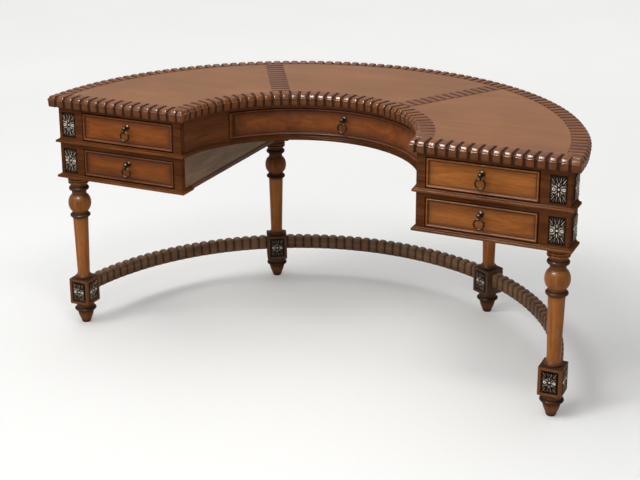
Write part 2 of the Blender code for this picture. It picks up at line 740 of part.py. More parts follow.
def turned_post(origin, low):
    """Round back plate, stem and ball, pointing to the user from the field of a drawer."""
    outline = [
        (0.0, PLATE_RADIUS),
        (PLATE_THICKNESS, PLATE_RADIUS * 0.95),
        (PLATE_THICKNESS * 1.8, STEM_RADIUS),
        (POST_REACH - BALL_RADIUS, STEM_RADIUS),
        (POST_REACH - BALL_RADIUS * 0.5, BALL_RADIUS * 0.87),
        (POST_REACH, BALL_RADIUS),
        (POST_REACH + BALL_RADIUS * 0.5, BALL_RADIUS * 0.87),
        (POST_REACH + BALL_RADIUS * 0.95, BALL_RADIUS * 0.3),
    ]
    rings = []
    for reach, radius in outline:
        round_points = circle((0.0, 0.0), radius, SMALL_STEPS)
        rings.append([(origin[0] + u, origin[1] - reach, low + v) for u, v in round_points])
    return sweep(rings)


def build_pull(word, origin):
    """Post with a drilled eye under its ball, and the ring that hangs through the eye."""
    x, y, z = origin
    plane = y - POST_REACH
    eye = z - EYE_DROP
    points, faces = turned_post(origin, z)
    post = add_object(word + "_pull_post", points, faces, "brass", origin)
    steps = SMALL_STEPS + 2
    loops = [circle((plane, eye), EYE_RADIUS, steps), circle((plane, eye), EYE_HOLE, steps)]
    points, faces = prism(loops, x - EYE_WIDTH / 2, x + EYE_WIDTH / 2, lambda u, v, w: (w, u, v))
    lug = add_object(word + "_lug", points, faces, "brass", origin)
    combine(post, lug, "UNION")

    rings = []
    for a in spread(0.0, 2 * math.pi, TURN_STEPS)[:-1]:
        ring = []
        for u, v in circle((RING_RADIUS, 0.0), RING_WIRE, 6):
            ring.append((x + u * math.sin(a), plane + v, eye - RING_RADIUS + u * math.cos(a)))
        rings.append(ring)
    points, faces = sweep(rings, closed=True)
    add_object(word + "_pull_ring", points, faces, "brass", (x, plane, eye))


def build_drawer(word, left, right, opening, back, surface, steps):
    """Fielded front, frame of two sides and a back, bottom that runs on the board below, and pull."""
    low = opening[0] + DRAWER_CLEARANCE
    high = opening[1] - DRAWER_CLEARANCE
    left += DRAWER_CLEARANCE
    right -= DRAWER_CLEARANCE
    middle = (left + right) / 2
    pull_z = (low + high) / 2 + PULL_RISE
    stations = rim_stations(left, right, steps)
    step = min(abs(x - middle) for x, _ in stations if abs(x - middle) > PLATE_RADIUS)
    drop = surface(middle, FIELD_DEPTH) - surface(middle + step, FIELD_DEPTH)
    seat = surface(middle, FIELD_DEPTH) - drop * PLATE_RADIUS / step
    origin = (middle, seat - GAP, pull_z)
    drawer_front(word + "_drawer_front", stations, low, high, surface, origin)

    behind = FRONT_THICKNESS + GAP
    run = opening[0] + GAP
    box_low = run + BOTTOM_THICKNESS + GAP
    inner_left = left + SIDE_THICKNESS
    inner_right = right - SIDE_THICKNESS
    outline = [(left, back), (left, surface(left, behind)), (inner_left, surface(inner_left, behind))]
    outline += [(inner_left, back - SIDE_THICKNESS), (inner_right, back - SIDE_THICKNESS)]
    outline += [(inner_right, surface(inner_right, behind)), (right, surface(right, behind)), (right, back)]
    points, faces = prism([outline], box_low, high - SIDE_DROP, upright)
    add_object(word + "_drawer_frame", points, faces, "inside", origin)

    outline = [(right, back), (left, back)]
    places = [x for x, _ in stations] if steps > 1 else [left, right]
    outline += [(x, surface(x, behind)) for x in places]
    points, faces = prism([outline], run, run + BOTTOM_THICKNESS, upright)
    add_object(word + "_drawer_bottom", points, faces, "inside", origin)
    build_pull(word, origin)


def build_drawers():
    def flat(x, depth):
        return CENTRE_Y + FRONT_OVERHANG - FRONT_PROUD + depth

    def curved(x, depth):
        return CENTRE_Y + math.sqrt((APRON_RADIUS - FRONT_PROUD + depth) ** 2 - x**2)

    reach = CASE_RADIUS - WALL - BACK_CLEARANCE
    back = CENTRE_Y + math.sqrt(reach**2 - OPENING_OUTER_X**2)
    for tier, opening in (("upper", UPPER_OPENING), ("lower", LOWER_OPENING)):
        build_drawer(tier + "_right", OPENING_INNER_X, OPENING_OUTER_X, opening, back, flat, 1)
        build_drawer(tier + "_left", -OPENING_OUTER_X, -OPENING_INNER_X, opening, back, flat, 1)
    rear = CENTRE_Y + math.sqrt(reach**2 - CENTER_HALF**2) - CENTER_BACK_SPACE
    build_drawer("center", -CENTER_HALF, CENTER_HALF, UPPER_OPENING, rear, curved, ARC_STEPS // 2)


for old in list(bpy.data.objects):
    bpy.data.objects.remove(old, do_unlink=True)

build_top()
build_upper_tier()
build_pedestal("right", 1)
build_pedestal("left", -1)
build_legs()
build_drawers()
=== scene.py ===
"""Looks of the demilune desk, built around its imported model. Metres, +Z up, user's side at -Y."""

from math import acos, asin, atan2, cos, hypot, pi, radians, sin, sqrt

import bmesh
import bpy
from mathutils import Euler, Matrix, Vector
from mathutils.geometry import tessellate_polygon


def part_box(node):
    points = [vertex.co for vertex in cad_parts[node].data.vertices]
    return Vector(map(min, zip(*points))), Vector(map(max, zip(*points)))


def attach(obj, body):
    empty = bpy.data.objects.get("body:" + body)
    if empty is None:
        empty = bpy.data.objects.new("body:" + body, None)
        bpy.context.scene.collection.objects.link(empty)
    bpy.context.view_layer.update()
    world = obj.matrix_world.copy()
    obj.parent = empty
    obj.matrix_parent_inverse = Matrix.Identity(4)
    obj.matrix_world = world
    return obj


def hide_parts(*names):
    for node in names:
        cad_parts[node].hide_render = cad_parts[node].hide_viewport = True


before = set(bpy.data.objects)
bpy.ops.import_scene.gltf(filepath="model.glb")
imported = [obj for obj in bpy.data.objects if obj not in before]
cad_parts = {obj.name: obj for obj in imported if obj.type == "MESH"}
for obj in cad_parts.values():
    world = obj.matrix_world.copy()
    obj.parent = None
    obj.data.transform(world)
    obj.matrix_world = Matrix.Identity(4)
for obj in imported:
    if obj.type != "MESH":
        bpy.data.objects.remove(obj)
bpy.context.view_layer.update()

# Sizes of the model, as the solids have them, apart from the curved rib counts and the rings' wire
GAP = 0.0003
TOP_HEIGHT = 0.762
TOP_RADIUS = 0.838
KNEE_RADIUS = 0.354
EDGE_WIDTH = 0.055
EDGE_HEIGHT = 0.0345
OUTER_RIDGES = 85
INNER_RIDGES = 40
FRONT_RIDGES = 14
DIVIDER_RIDGES = 13
DIVIDER_WIDTH = 0.057
PANEL_BOTTOM = 0.7573
CASE_RADIUS = 0.810
APRON_RADIUS = 0.375
FRONT_OVERHANG = 0.0205
FRAME_THICKNESS = 0.020
WALL = 0.018
CASE_TOP = 0.7272
TIER_HEIGHT = 0.614
BASE_HEIGHT = 0.500
LOWER_OPENING = (0.5125, 0.5993)
UPPER_OPENING = (0.6265, 0.7157)
INNER_STILE = 0.027
CORNER_STILE = 0.0855
CENTER_DRAWER_TURN = radians(56.7)
DRAWER_CLEARANCE = 0.0015
FRONT_PROUD = 0.002
FRONT_THICKNESS = 0.018
MOLDING_RETURN = 0.052
CORNER_DEPTH = 0.076
MOLDING_HEIGHT = 0.0122
PLAQUE_SIZE = (0.046, 0.078)
BLOCK_PLAQUE_SIZE = (0.044, 0.066)
SIDE_PLAQUE_INSET = 0.028
REAR_LEG_ANGLE = radians(60)
POST_WIDTH = 0.066
LEG_RADIUS = 0.776
LEG_TOP = 0.4997
FRONT_LEG_Y = 0.0555
BLOCK_WIDTH = 0.068
BLOCK_BOTTOM = 0.069
BLOCK_TOP = 0.1543
STRETCHER_WIDTH = 0.032
STRETCHER_BOTTOM = 0.103
STRETCHER_TOP = 0.146
RIDGE_PITCH = 0.030
PULL_RISE = 0.0155
POST_REACH = 0.0165
EYE_DROP = 0.0105
RING_RADIUS = 0.0142
RING_WIRE = 0.0026
BALL_RADIUS = 0.0078

# Values that follow
CENTRE_Y = -TOP_RADIUS / 2
EDGE_BOTTOM = TOP_HEIGHT - EDGE_HEIGHT
FRAME_BACK = FRONT_OVERHANG + FRAME_THICKNESS
WALL_START = FRAME_BACK + GAP
FRAME_INNER_X = sqrt(APRON_RADIUS**2 - FRONT_OVERHANG**2)
FRAME_OUTER_X = sqrt(CASE_RADIUS**2 - FRAME_BACK**2)
CORNER_BACK = FRONT_OVERHANG + CORNER_DEPTH
OPENING_INNER_X = FRAME_INNER_X + INNER_STILE
OPENING_OUTER_X = FRAME_OUTER_X - CORNER_STILE
CENTER_HALF = APRON_RADIUS * sin(CENTER_DRAWER_TURN)
FRONT_LEG_X = sqrt(LEG_RADIUS**2 - FRONT_LEG_Y**2)
BOARD_RADIUS = TOP_RADIUS - EDGE_WIDTH
BORDER_RADIUS = KNEE_RADIUS + EDGE_WIDTH
BLOCK_MIDDLE = (BLOCK_BOTTOM + BLOCK_TOP) / 2

# Ribs: places across one, its raised share, its squareness, and its glaze from groove to crest
RIB_PLACES = (
    0.0, 0.06, 0.10, 0.111, 0.116, 0.125, 0.14, 0.165, 0.20, 0.27, 0.38,
    0.50, 0.62, 0.73, 0.80, 0.835, 0.86, 0.875, 0.884, 0.889, 0.90, 0.94,
)
RIB_SHARE = 0.78
RIB_SQUARENESS = 6
GROOVE_TONE = 0.03
FLANK_START = 0.3
FLANK_RISE = 0.65
FLANK_CURVE = 1.3
MATTE_BELOW = 0.2

# How many straight pieces make round work
TURN_STEPS = 40
APRON_STEPS = 160
SIDE_STEPS = 54
KNEE_STEPS = 40
RAIL_STEPS = 80
KNEE_RUN_STEPS = 90
POST_STEPS = 28
EYE_STEPS = (20, 10)
RING_STEPS = (48, 14)
FLAT_STEPS = 12
CURVED_STEPS = 80

SIDES = (("right", 1), ("left", -1))
WHITE = (1.0, 1.0, 1.0)


# Materials

def plug(socket, value):
    """Link an input to a socket of the same tree, or set it; colours come without alpha."""
    if isinstance(value, bpy.types.NodeSocket):
        socket.id_data.links.new(value, socket)
    elif socket.type == "RGBA":
        socket.default_value = (*value, 1.0)
    else:
        socket.default_value = value


def plug_in(node, **inputs):
    for key, value in inputs.items():
        plug(node.inputs[key.replace("_", " ")], value)


def add_node(tree, kind, settings=None, **inputs):
    made = tree.nodes.new(kind)
    for key, value in (settings or {}).items():
        setattr(made, key, value)
    plug_in(made, **inputs)
    return made


def mix(blend, amount, first, second):
    """Mix two colours, of which the second comes from a socket."""
    made = add_node(second.id_data, "ShaderNodeMix", {"data_type": "RGBA", "blend_type": blend})
    for place, value in ((0, amount), (6, first), (7, second)):
        plug(made.inputs[place], value)
    return made.outputs[2]


def ramp(factor, stops):
    """Colour ramp through (place, colour) stops."""
    made = factor.id_data.nodes.new("ShaderNodeValToRGB")
    plug(made.inputs[0], factor)
    band = made.color_ramp
    while len(band.elements) < len(stops):
        band.elements.new(0.5)
    for element, (place, color) in zip(band.elements, stops):
        element.position = place
        element.color = (*color, 1.0)
    return made.outputs[0]


def stretch(factor, low, high, first=0.0, last=1.0):
    """Map a factor that runs from first to last to the range from low to high."""
    made = add_node(factor.id_data, "ShaderNodeMapRange", Value=factor, To_Min=low, To_Max=high)
    plug_in(made, From_Min=first, From_Max=last)
    return made.outputs[0]


def calculate(operation, first, second):
    made = add_node(first.id_data, "ShaderNodeMath", {"operation": operation})
    plug(made.inputs[0], first)
    plug(made.inputs[1], second)
    return made.outputs[0]


def noise(place, detail, roughness, distortion=0.0):
    made = add_node(place.id_data, "ShaderNodeTexNoise", Vector=place, Scale=1.0, Detail=detail)
    plug_in(made, Roughness=roughness, Distortion=distortion)
    return made.outputs["Fac"]


def stored_tone(tree):
    """Glaze and painted shade stored on a piece's points: 0 where they are thick, 1 where the wood is
    clear.
    """
    return add_node(tree, "ShaderNodeAttribute", {"attribute_name": "tone"}).outputs["Fac"]


def bump(height, strength, distance):
    """Normal of a surface that a factor raises a little."""
    made = add_node(height.id_data, "ShaderNodeBump", Strength=strength, Distance=distance, Height=height)
    return made.outputs[0]


def start_material(name):
    material = bpy.data.materials.new(name)
    material.use_nodes = True
    tree = material.node_tree
    return material, tree, tree.nodes["Principled BSDF"]


def grain_place(tree, scale):
    """Texture place along the piece's own grain: x along it, y and z across it."""
    grain = add_node(tree, "ShaderNodeAttribute", {"attribute_name": "grain"})
    return add_node(tree, "ShaderNodeMapping", Vector=grain.outputs["Vector"], Scale=scale).outputs[0]


def object_place(tree, scale):
    """Texture place in the object's own axes."""
    coords = tree.nodes.new("ShaderNodeTexCoord")
    return add_node(tree, "ShaderNodeMapping", Vector=coords.outputs["Object"], Scale=scale).outputs[0]


FIBRE_FINENESS = 6.0
GLAZE_ROUGHNESS = (0.7, 0.7, 0.7)


def wood(
    name, colors, glaze, rough, coat, haze=0.08,
    place=grain_place, scale=(5.0, 42.0, 42.0), contrast=0.5, toned=True,
):
    """Polished wood: streaked figure, fine fibre, mottling, and a dark glaze left in the recesses, with
    painted shade in the same dark colour.
    """
    material, tree, shader = start_material(name)
    figure = noise(place(tree, scale), detail=9.0, roughness=0.62, distortion=0.7)
    body = ramp(figure, ((0.28, colors[0]), (0.5, colors[1]), (0.72, colors[2])))
    fine = place(tree, tuple(FIBRE_FINENESS * s for s in scale))
    fibre = noise(fine, detail=5.0, roughness=0.7)
    shade = ramp(fibre, ((0.3, (1.0 - contrast,) * 3), (0.62, WHITE)))
    body = mix("MULTIPLY", 0.55, body, shade)
    cloud = noise(object_place(tree, (7.0, 7.0, 7.0)), detail=3.0, roughness=0.5)
    mottle = ramp(cloud, ((0.3, (0.72, 0.66, 0.62)), (0.7, (1.15, 1.12, 1.08))))
    body = mix("MULTIPLY", 0.5, body, mottle)
    gloss = stretch(fibre, rough - 0.08, rough + 0.12)
    if toned:
        stops = ((0.0, (0.0, 0.0, 0.0)), (0.55, (0.72, 0.72, 0.72)), (1.0, WHITE))
        cover = ramp(stored_tone(tree), stops)
        # where the stored tone is low, the dark colour is glaze and painted shade
        body = mix("MIX", cover, glaze, body)
        gloss = mix("MIX", cover, GLAZE_ROUGHNESS, gloss)
    plug_in(shader, Base_Color=body, Roughness=gloss, Normal=bump(fibre, 0.12, 0.0006))
    plug_in(shader, Specular_IOR_Level=haze, Coat_Weight=coat, Coat_Roughness=0.16)
    return material


def plain_wood(name, colors, scale, rough, coat, contrast=0.4):
    """Wood without glaze, for nodes that stay as the model has them."""
    return wood(
        name, colors, GLAZE_AND_SHADE, rough, coat,
        place=object_place, scale=scale, contrast=contrast, toned=False,
    )


def carved_finish(name):
    """Carving with a near-black ground and silver-gold rubbed on the raised leaves; its near-white top
    colour is a painted highlight.
    """
    material, tree, shader = start_material(name)
    worn = noise(object_place(tree, (260.0, 260.0, 260.0)), detail=4.0, roughness=0.6)
    stops = (
        (0.0, (0.016, 0.008, 0.004)), (0.35, (0.055, 0.033, 0.019)), (0.58, (0.30, 0.230, 0.165)),
        (0.80, (0.70, 0.610, 0.510)), (1.0, (0.97, 0.920, 0.850)),
    )
    body = ramp(stored_tone(tree), stops)
    wear = ramp(worn, ((0.35, (0.45, 0.40, 0.36)), (0.6, WHITE)))
    body = mix("MULTIPLY", 0.7, body, wear)
    gloss = stretch(worn, 0.24, 0.5)
    plug_in(shader, Base_Color=body, Roughness=gloss, Normal=bump(worn, 0.2, 0.0004))
    plug_in(shader, Specular_IOR_Level=0.06, Coat_Weight=0.06, Coat_Roughness=0.2)
    return material


def old_brass(name):
    """Darkened brass, brighter where it is rubbed."""
    material, tree, shader = start_material(name)
    stain = noise(object_place(tree, (180.0, 180.0, 180.0)), detail=6.0, roughness=0.65)
    stops = ((0.3, (0.012, 0.008, 0.006)), (0.55, (0.034, 0.025, 0.016)), (0.75, (0.085, 0.064, 0.038)))
    gloss = stretch(stain, 0.52, 0.34)
    plug_in(shader, Base_Color=ramp(stain, stops), Roughness=gloss, Metallic=1.0)
    plug_in(shader, Normal=bump(stain, 0.15, 0.0003))
    return material


# Dark colours laid on where the stored tone is low: glaze, and painted shade in recesses and shaded parts
GLAZE_AND_SHADE = (0.020, 0.008, 0.004)
EDGE_GLAZE_AND_SHADE = (0.046, 0.020, 0.010)
FRAME_COLORS = ((0.072, 0.022, 0.008), (0.122, 0.039, 0.013), (0.186, 0.065, 0.022))
RED_COLORS = ((0.265, 0.066, 0.010), (0.400, 0.108, 0.017), (0.525, 0.162, 0.030))
FRONT_COLORS = ((0.280, 0.084, 0.016), (0.425, 0.138, 0.027), (0.560, 0.205, 0.044))
PANEL_COLORS = ((0.236, 0.092, 0.027), (0.264, 0.107, 0.034), (0.296, 0.127, 0.047))
EDGE_COLORS = ((0.134, 0.039, 0.009), (0.203, 0.062, 0.014), (0.276, 0.094, 0.024))
LEG_COLORS = ((0.265, 0.082, 0.018), (0.395, 0.137, 0.032), (0.515, 0.200, 0.051))
DARK_COLORS = ((0.155, 0.080, 0.041), (0.240, 0.132, 0.071), (0.330, 0.192, 0.108))
WALL_COLORS = ((0.172, 0.101, 0.053), (0.246, 0.151, 0.086), (0.325, 0.206, 0.123))
MOLDING_COLORS = ((0.105, 0.034, 0.010), (0.178, 0.059, 0.017), (0.260, 0.095, 0.028))
KNEE_COLORS = ((0.105, 0.030, 0.008), (0.185, 0.056, 0.013), (0.275, 0.090, 0.023))
INSIDE_COLORS = ((0.270, 0.150, 0.070), (0.360, 0.215, 0.108), (0.440, 0.280, 0.150))

frame_wood = wood("frame_wood", FRAME_COLORS, GLAZE_AND_SHADE, rough=0.42, coat=0.03, haze=0.0)
molding_wood = wood("molding_wood", MOLDING_COLORS, GLAZE_AND_SHADE, rough=0.42, coat=0.04, haze=0.0)
front_wood = wood("front_wood", FRONT_COLORS, GLAZE_AND_SHADE, rough=0.32, coat=0.05)
red_wood = wood("red_wood", RED_COLORS, GLAZE_AND_SHADE, rough=0.32, coat=0.05)
edge_wood = wood("edge_wood", EDGE_COLORS, EDGE_GLAZE_AND_SHADE, rough=0.32, coat=0.14)
leg_wood = wood("leg_wood", LEG_COLORS, GLAZE_AND_SHADE, rough=0.34, coat=0.08)
dark_wood = wood("dark_wood", DARK_COLORS, GLAZE_AND_SHADE, rough=0.40, coat=0.05)
knee_wood = wood("knee_wood", KNEE_COLORS, GLAZE_AND_SHADE, rough=0.40, coat=0.04)
board_wood = plain_wood("board_wood", FRAME_COLORS, (42.0, 5.0, 42.0), rough=0.36, coat=0.05)
panel_wood = plain_wood("panel_wood", PANEL_COLORS, (3.2, 14.0, 14.0), rough=0.36, coat=0.06, contrast=0.16)
wall_wood = plain_wood("wall_wood", WALL_COLORS, (42.0, 5.0, 42.0), rough=0.40, coat=0.04)
inside_wood = plain_wood("inside_wood", INSIDE_COLORS, (4.0, 40.0, 40.0), rough=0.55, coat=0.0)
groove_wood = wood("groove_wood", EDGE_COLORS, EDGE_GLAZE_AND_SHADE, rough=0.6, coat=0.0)
carving = carved_finish("carving")
brass = old_brass("antique_brass")


# Places in plan and round a circle

def spread(first, last, steps):
    return [first + (last - first) * k / steps for k in range(steps + 1)]


def circle(radius, steps):
    turns = spread(0.0, 2.0 * pi, steps)[:-1]
    return [(radius * cos(a), radius * sin(a)) for a in turns]


def polar(radius, angle):
    """Plan point about the middle of the desk's straight side."""
    return (radius * cos(angle), CENTRE_Y + radius * sin(angle))


# Plan lines, each as the angle that it has at a radius

def at_depth(depth):
    return lambda radius: asin(depth / radius)


def at_width(half):
    return lambda radius: acos(half / radius)


def beside(angle, offset):
    return lambda radius: angle + asin(offset / radius)


def mirrored(start):
    return lambda radius: pi - start(radius)


def flip(outline, side):
    """Plan points for one side of the desk, from those of the right side."""
    if side > 0:
        return outline
    return [(-x, y) for x, y in reversed(outline)]


# Mesh helpers

def add_object(name, data):
    obj = bpy.data.objects.new(name, data)
    bpy.context.scene.collection.objects.link(obj)
    return obj


def dress(mesh, material, tones, sharp):
    """Give a mesh its glaze and painted shade, smoothing and material."""
    marks = mesh.attributes.new("tone", "FLOAT", "POINT")
    marks.data.foreach_set("value", tones)
    mesh.shade_smooth()
    mesh.set_sharp_from_angle(angle=radians(sharp))
    mesh.materials.append(material)


def piece(
    name, points, faces, material, nodes=(), body="desk",
    tone=None, grain=None, sharp=42.0, matte=None,
):
    """Make one mesh piece that rides on a body, with its glaze, painted shade and grain stored on its
    points.
    """
    mesh = bpy.data.meshes.new(name)
    mesh.from_pydata([tuple(p) for p in points], [], faces)
    shape = bmesh.new()
    shape.from_mesh(mesh)
    bmesh.ops.recalc_face_normals(shape, faces=shape.faces)
    shape.to_mesh(mesh)
    shape.free()
    dress(mesh, material, tone if tone else [1.0] * len(mesh.vertices), sharp)
    lines = mesh.attributes.new("grain", "FLOAT_VECTOR", "POINT")
    flow = grain if grain else points
    lines.data.foreach_set("vector", [c for place in flow for c in place])
    if matte:
        mesh.materials.append(matte)
        for face in mesh.polygons:
            face.material_index = int(max(tone[k] for k in face.vertices) < MATTE_BELOW)
    obj = add_object(name, mesh)
    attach(obj, body)
    if nodes:
        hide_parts(*nodes)
    return obj


def sweep(rings, closed=False):
    """Points and faces of a skin over rings of equal length, capped unless it closes on itself."""
    count = len(rings[0])
    points = [p for ring in rings for p in ring]
    faces = []
    spans = len(rings) if closed else len(rings) - 1
    for i in range(spans):
        a = i * count
        b = (i + 1) % len(rings) * count
        for k in range(count):
            n = (k + 1) % count
            faces.append((a + k, a + n, b + n, b + k))
    if not closed:
        last = (len(rings) - 1) * count
        faces.append(tuple(reversed(range(count))))
        faces.append(tuple(range(last, last + count)))
    return points, faces


def slab(points, lines, behind):
    """Faces of a sheet of points in equal lines, and of sides to points behind its rim, which it adds."""
    count = len(points) // lines
    faces = []
    for j in range(lines - 1):
        for i in range(count - 1):
            a = j * count + i
            faces.append((a, a + 1, a + count + 1, a + count))
    rim = list(range(count)) + [j * count + count - 1 for j in range(1, lines)]
    rim += [(lines - 1) * count + i for i in range(count - 2, -1, -1)]
    rim += [j * count for j in range(lines - 2, 0, -1)]
    first = len(points)
    points += [behind(*points[k]) for k in rim]
    for k in range(len(rim)):
        n = (k + 1) % len(rim)
        faces.append((rim[n], rim[k], first + k, first + n))
    return faces, rim


def skin(name, ending, layers, material, sharp=42.0, matte=None):
    """Piece for a node, as a skin over layers of (place, glaze and painted shade, grain) points."""
    points, faces = sweep([[p[0] for p in layer] for layer in layers])
    tones = [p[1] for layer in layers for p in layer]
    grain = [p[2] for layer in layers for p in layer]
    piece(name + ending, points, faces, material, [name], "desk", tones, grain, sharp, matte)


def rib_height(place):
    """Height over one rib, from 0 on the groove's floor to 1 on the broad round crest."""
    return sqrt(max(0.0, 1.0 - (abs(2.0 * place - 1.0) / RIB_SHARE) ** RIB_SQUARENESS))


def rib_tone(height):
    """Glaze and painted shade over a rib: dark in the groove and up its flanks, clear on the crest."""
    rise = min(1.0, max(0.0, (height - FLANK_START) / FLANK_RISE))
    return GROOVE_TONE + (1.0 - GROOVE_TONE) * rise**FLANK_CURVE


def rib_stations(ridges):
    """Places from 0 to 1 along a ribbed length, each with its rib height."""
    stations = []
    for k in range(ridges):
        stations += [((k + u) / ridges, rib_height(u)) for u in RIB_PLACES]
    stations.append((1.0, 0.0))
    return stations


# Top: ribbed edges and dividers

EDGE_GROOVE = 0.0050
# Painted shade on the edge: its upright face darkens towards its foot, and the quirk rows are darker still
EDGE_FACE_TOP = 0.0206
EDGE_FOOT_SHADE = 0.32
EDGE_SECTION = (
    # out from the board, height over the underside, share of the groove taken outward and downward
    (0.0000, 0.0000, 0.0, 0.0),
    (0.0500, 0.0000, 0.8, 0.0),
    (0.0515, 0.0008, 0.9, 0.0),
    (0.0524, 0.0028, 1.0, 0.0),
    (0.0530, 0.0080, 1.0, 0.0),
    (0.0534, 0.0150, 1.0, 0.0),
    (0.0538, EDGE_FACE_TOP, 1.0, 0.0),
    (0.0546, 0.0216, 1.0, 0.0),
    (0.0550, 0.0230, 1.0, 0.1),
    (0.0543, 0.0243, 1.0, 0.2),
    (0.0530, 0.0250, 1.0, 0.25),
    (0.0516, 0.0254, 1.0, 0.3),
    (0.0514, 0.0262, 1.0, 0.4),
    (0.0506, 0.0276, 1.0, 0.5),
    (0.0492, 0.0300, 0.9, 0.7),
    (0.0478, 0.0322, 0.7, 0.9),
    (0.0465, 0.0334, 0.5, 1.0),
    (0.0445, 0.0342, 0.3, 1.0),
    (0.0415, EDGE_HEIGHT, 0.0, 1.0),
    (0.0210, EDGE_HEIGHT, 0.0, 0.8),
    (0.0035, EDGE_HEIGHT, 0.0, 0.6),
    (0.0000, 0.0338, 0.0, 0.5),
)
QUIRK_ROWS = (11, 12)
QUIRK_SHADE = 0.55
INNER_PLAIN = 0.022
OUTER_PLAIN = 0.032
KNEE_PLAIN = 0.020
RIM_PLAIN = 0.022
LEAD_SHARE = 0.12
LEAD_STEP = 0.8
LEAD_HEIGHT = 0.05
CORNER_ROUND = 0.009
FRONT_TURNS = tuple(radians(a) for a in (15.0, 30.0, 45.0))
ARC_TURNS = tuple(radians(a) for a in (45.0, 60.0, 75.0))
DIVIDER_GROOVE = 0.0022
DIVIDER_EASE = 0.0012
DIVIDER_CROWN = 0.0001


def edge_ring(height):
    """Edge section at one rib height: (inset from the face, z, glaze and painted shade) for each point."""
    cut = EDGE_GROOVE * (1.0 - height)
    ring = []
    for k, (out, up, outward, downward) in enumerate(EDGE_SECTION):
        tone = rib_tone(height) * (EDGE_FOOT_SHADE + (1.0 - EDGE_FOOT_SHADE) * min(1.0, up / EDGE_FACE_TOP))
        if k in QUIRK_ROWS:
            tone *= QUIRK_SHADE
        ring.append((EDGE_WIDTH - out + cut * outward, EDGE_BOTTOM + up - cut * downward, tone))
    return ring


def rib_line(first, last, ridges):
    """Stations of a ribbed length between two plain ends: (place, rib height)."""
    lead = LEAD_SHARE * (last - first) / ridges
    stations = [(first - lead, 1.0), (first - LEAD_STEP * lead, LEAD_HEIGHT)]
    stations += [(first + (last - first) * t, height) for t, height in rib_stations(ridges)]
    return stations + [(last + LEAD_STEP * lead, LEAD_HEIGHT), (last + lead, 1.0)]


def ribbed_piece(name, layers):
    """Ribbed part of the top, matte in its grooves."""
    skin(name, "_ribs", layers, edge_wood, matte=groove_wood)


def edge_corner(face, inward, turn, side):
    """One layer of a rounded corner between an arc and the front."""
    layer = []
    for inset, z, tone in edge_ring(1.0):
        reach = max(0.0, CORNER_ROUND - inset)
        along = inset + reach * (1.0 - sin(turn))
        depth = inset + reach * (1.0 - cos(turn))
        x = side * sqrt((face + inward * along) ** 2 - depth**2)
        layer.append(((x, CENTRE_Y + depth, z), tone, (along, x + depth, z)))
    return layer


def curved_edge(name, face, inward, plain, ridges):
    """Ribbed edge along an arc, mitred at both ends to the straight front pieces."""
    crest = edge_ring(1.0)
    begin = asin(CORNER_ROUND / face)
    stations = rib_line(plain / face, pi - plain / face, ridges)
    layers = [edge_corner(face, inward, turn, 1) for turn in ARC_TURNS]
    for a, height in [(begin, 1.0), *stations, (pi - begin, 1.0)]:
        layer = []
        for (inset, z, tone), (flush, top, shade) in zip(edge_ring(height), crest):
            limit = asin(flush / (face + inward * flush))
            turn = min(max(a, limit), pi - limit)
            if turn != a:
                inset, z, tone = flush, top, shade
            layer.append(((*polar(face + inward * inset, turn), z), tone, (inset, turn * face, z)))
        layers.append(layer)
    layers += [edge_corner(face, inward, turn, -1) for turn in reversed(ARC_TURNS)]
    ribbed_piece(name, layers)


def straight_edge(name, side):
    """Front end of the top: ribs between two plain rounded corners."""
    crest = edge_ring(1.0)
    stations = rib_line(KNEE_RADIUS + INNER_PLAIN, TOP_RADIUS - OUTER_PLAIN, FRONT_RIDGES)
    layers = [edge_corner(KNEE_RADIUS, 1, turn, side) for turn in reversed(FRONT_TURNS)]
    for x, height in [(KNEE_RADIUS + CORNER_ROUND, 1.0), *stations, (TOP_RADIUS - CORNER_ROUND, 1.0)]:
        layer = []
        for (inset, z, tone), (flush, top, shade) in zip(edge_ring(height), crest):
            low = sqrt((KNEE_RADIUS + flush) ** 2 - flush**2)
            high = sqrt((TOP_RADIUS - flush) ** 2 - flush**2)
            place = min(max(x, low), high)
            if place != x:
                inset, z, tone = flush, top, shade
            layer.append(((side * place, CENTRE_Y + inset, z), tone, (inset, place, z)))
        layers.append(layer)
    layers += [edge_corner(TOP_RADIUS, -1, turn, side) for turn in FRONT_TURNS]
    ribbed_piece(name, layers)


def divider(name, angle):
    """Ribbed bar between two panels, along a spoke of the top."""
    inner = BORDER_RADIUS + GAP
    outer = BOARD_RADIUS - GAP
    half = DIVIDER_WIDTH / 2
    flat = half - DIVIDER_EASE
    low = sqrt(inner**2 - half**2) + DIVIDER_WIDTH**2 / (4 * inner)
    high = sqrt(outer**2 - half**2)
    layers = []
    for t, height in rib_stations(DIVIDER_RIDGES):
        radius = low + (high - low) * t
        x, y = polar(radius, angle)
        top = TOP_HEIGHT - DIVIDER_GROOVE * (1.0 - height)
        eased = top - DIVIDER_EASE
        layer = []
        for across, z in (
            (-half, PANEL_BOTTOM), (half, PANEL_BOTTOM), (half, eased), (flat, top),
            (0.0, top + DIVIDER_CROWN), (-flat, top), (-half, eased),
        ):
            place = (x - across * sin(angle), y + across * cos(angle), z)
            layer.append((place, rib_tone(height), (across, radius, z)))
        layers.append(layer)
    ribbed_piece(name, layers)


curved_edge("edge_outer", TOP_RADIUS, -1, RIM_PLAIN, OUTER_RIDGES)
curved_edge("edge_inner", KNEE_RADIUS, 1, KNEE_PLAIN, INNER_RIDGES)
for word, side in SIDES:
    straight_edge("edge_front_" + word, side)
divider("divider_right", REAR_LEG_ANGLE)
divider("divider_left", pi - REAR_LEG_ANGLE)


# Case: curved boards, moldings and face frames

SLACK = 0.001
BOARD_EASE = 0.0008
BOARD_TONE = 0.9
BOARD_RIM_TONE = 0.62
KNEE_TONE = 0.62
KNEE_SHADE = 0.45
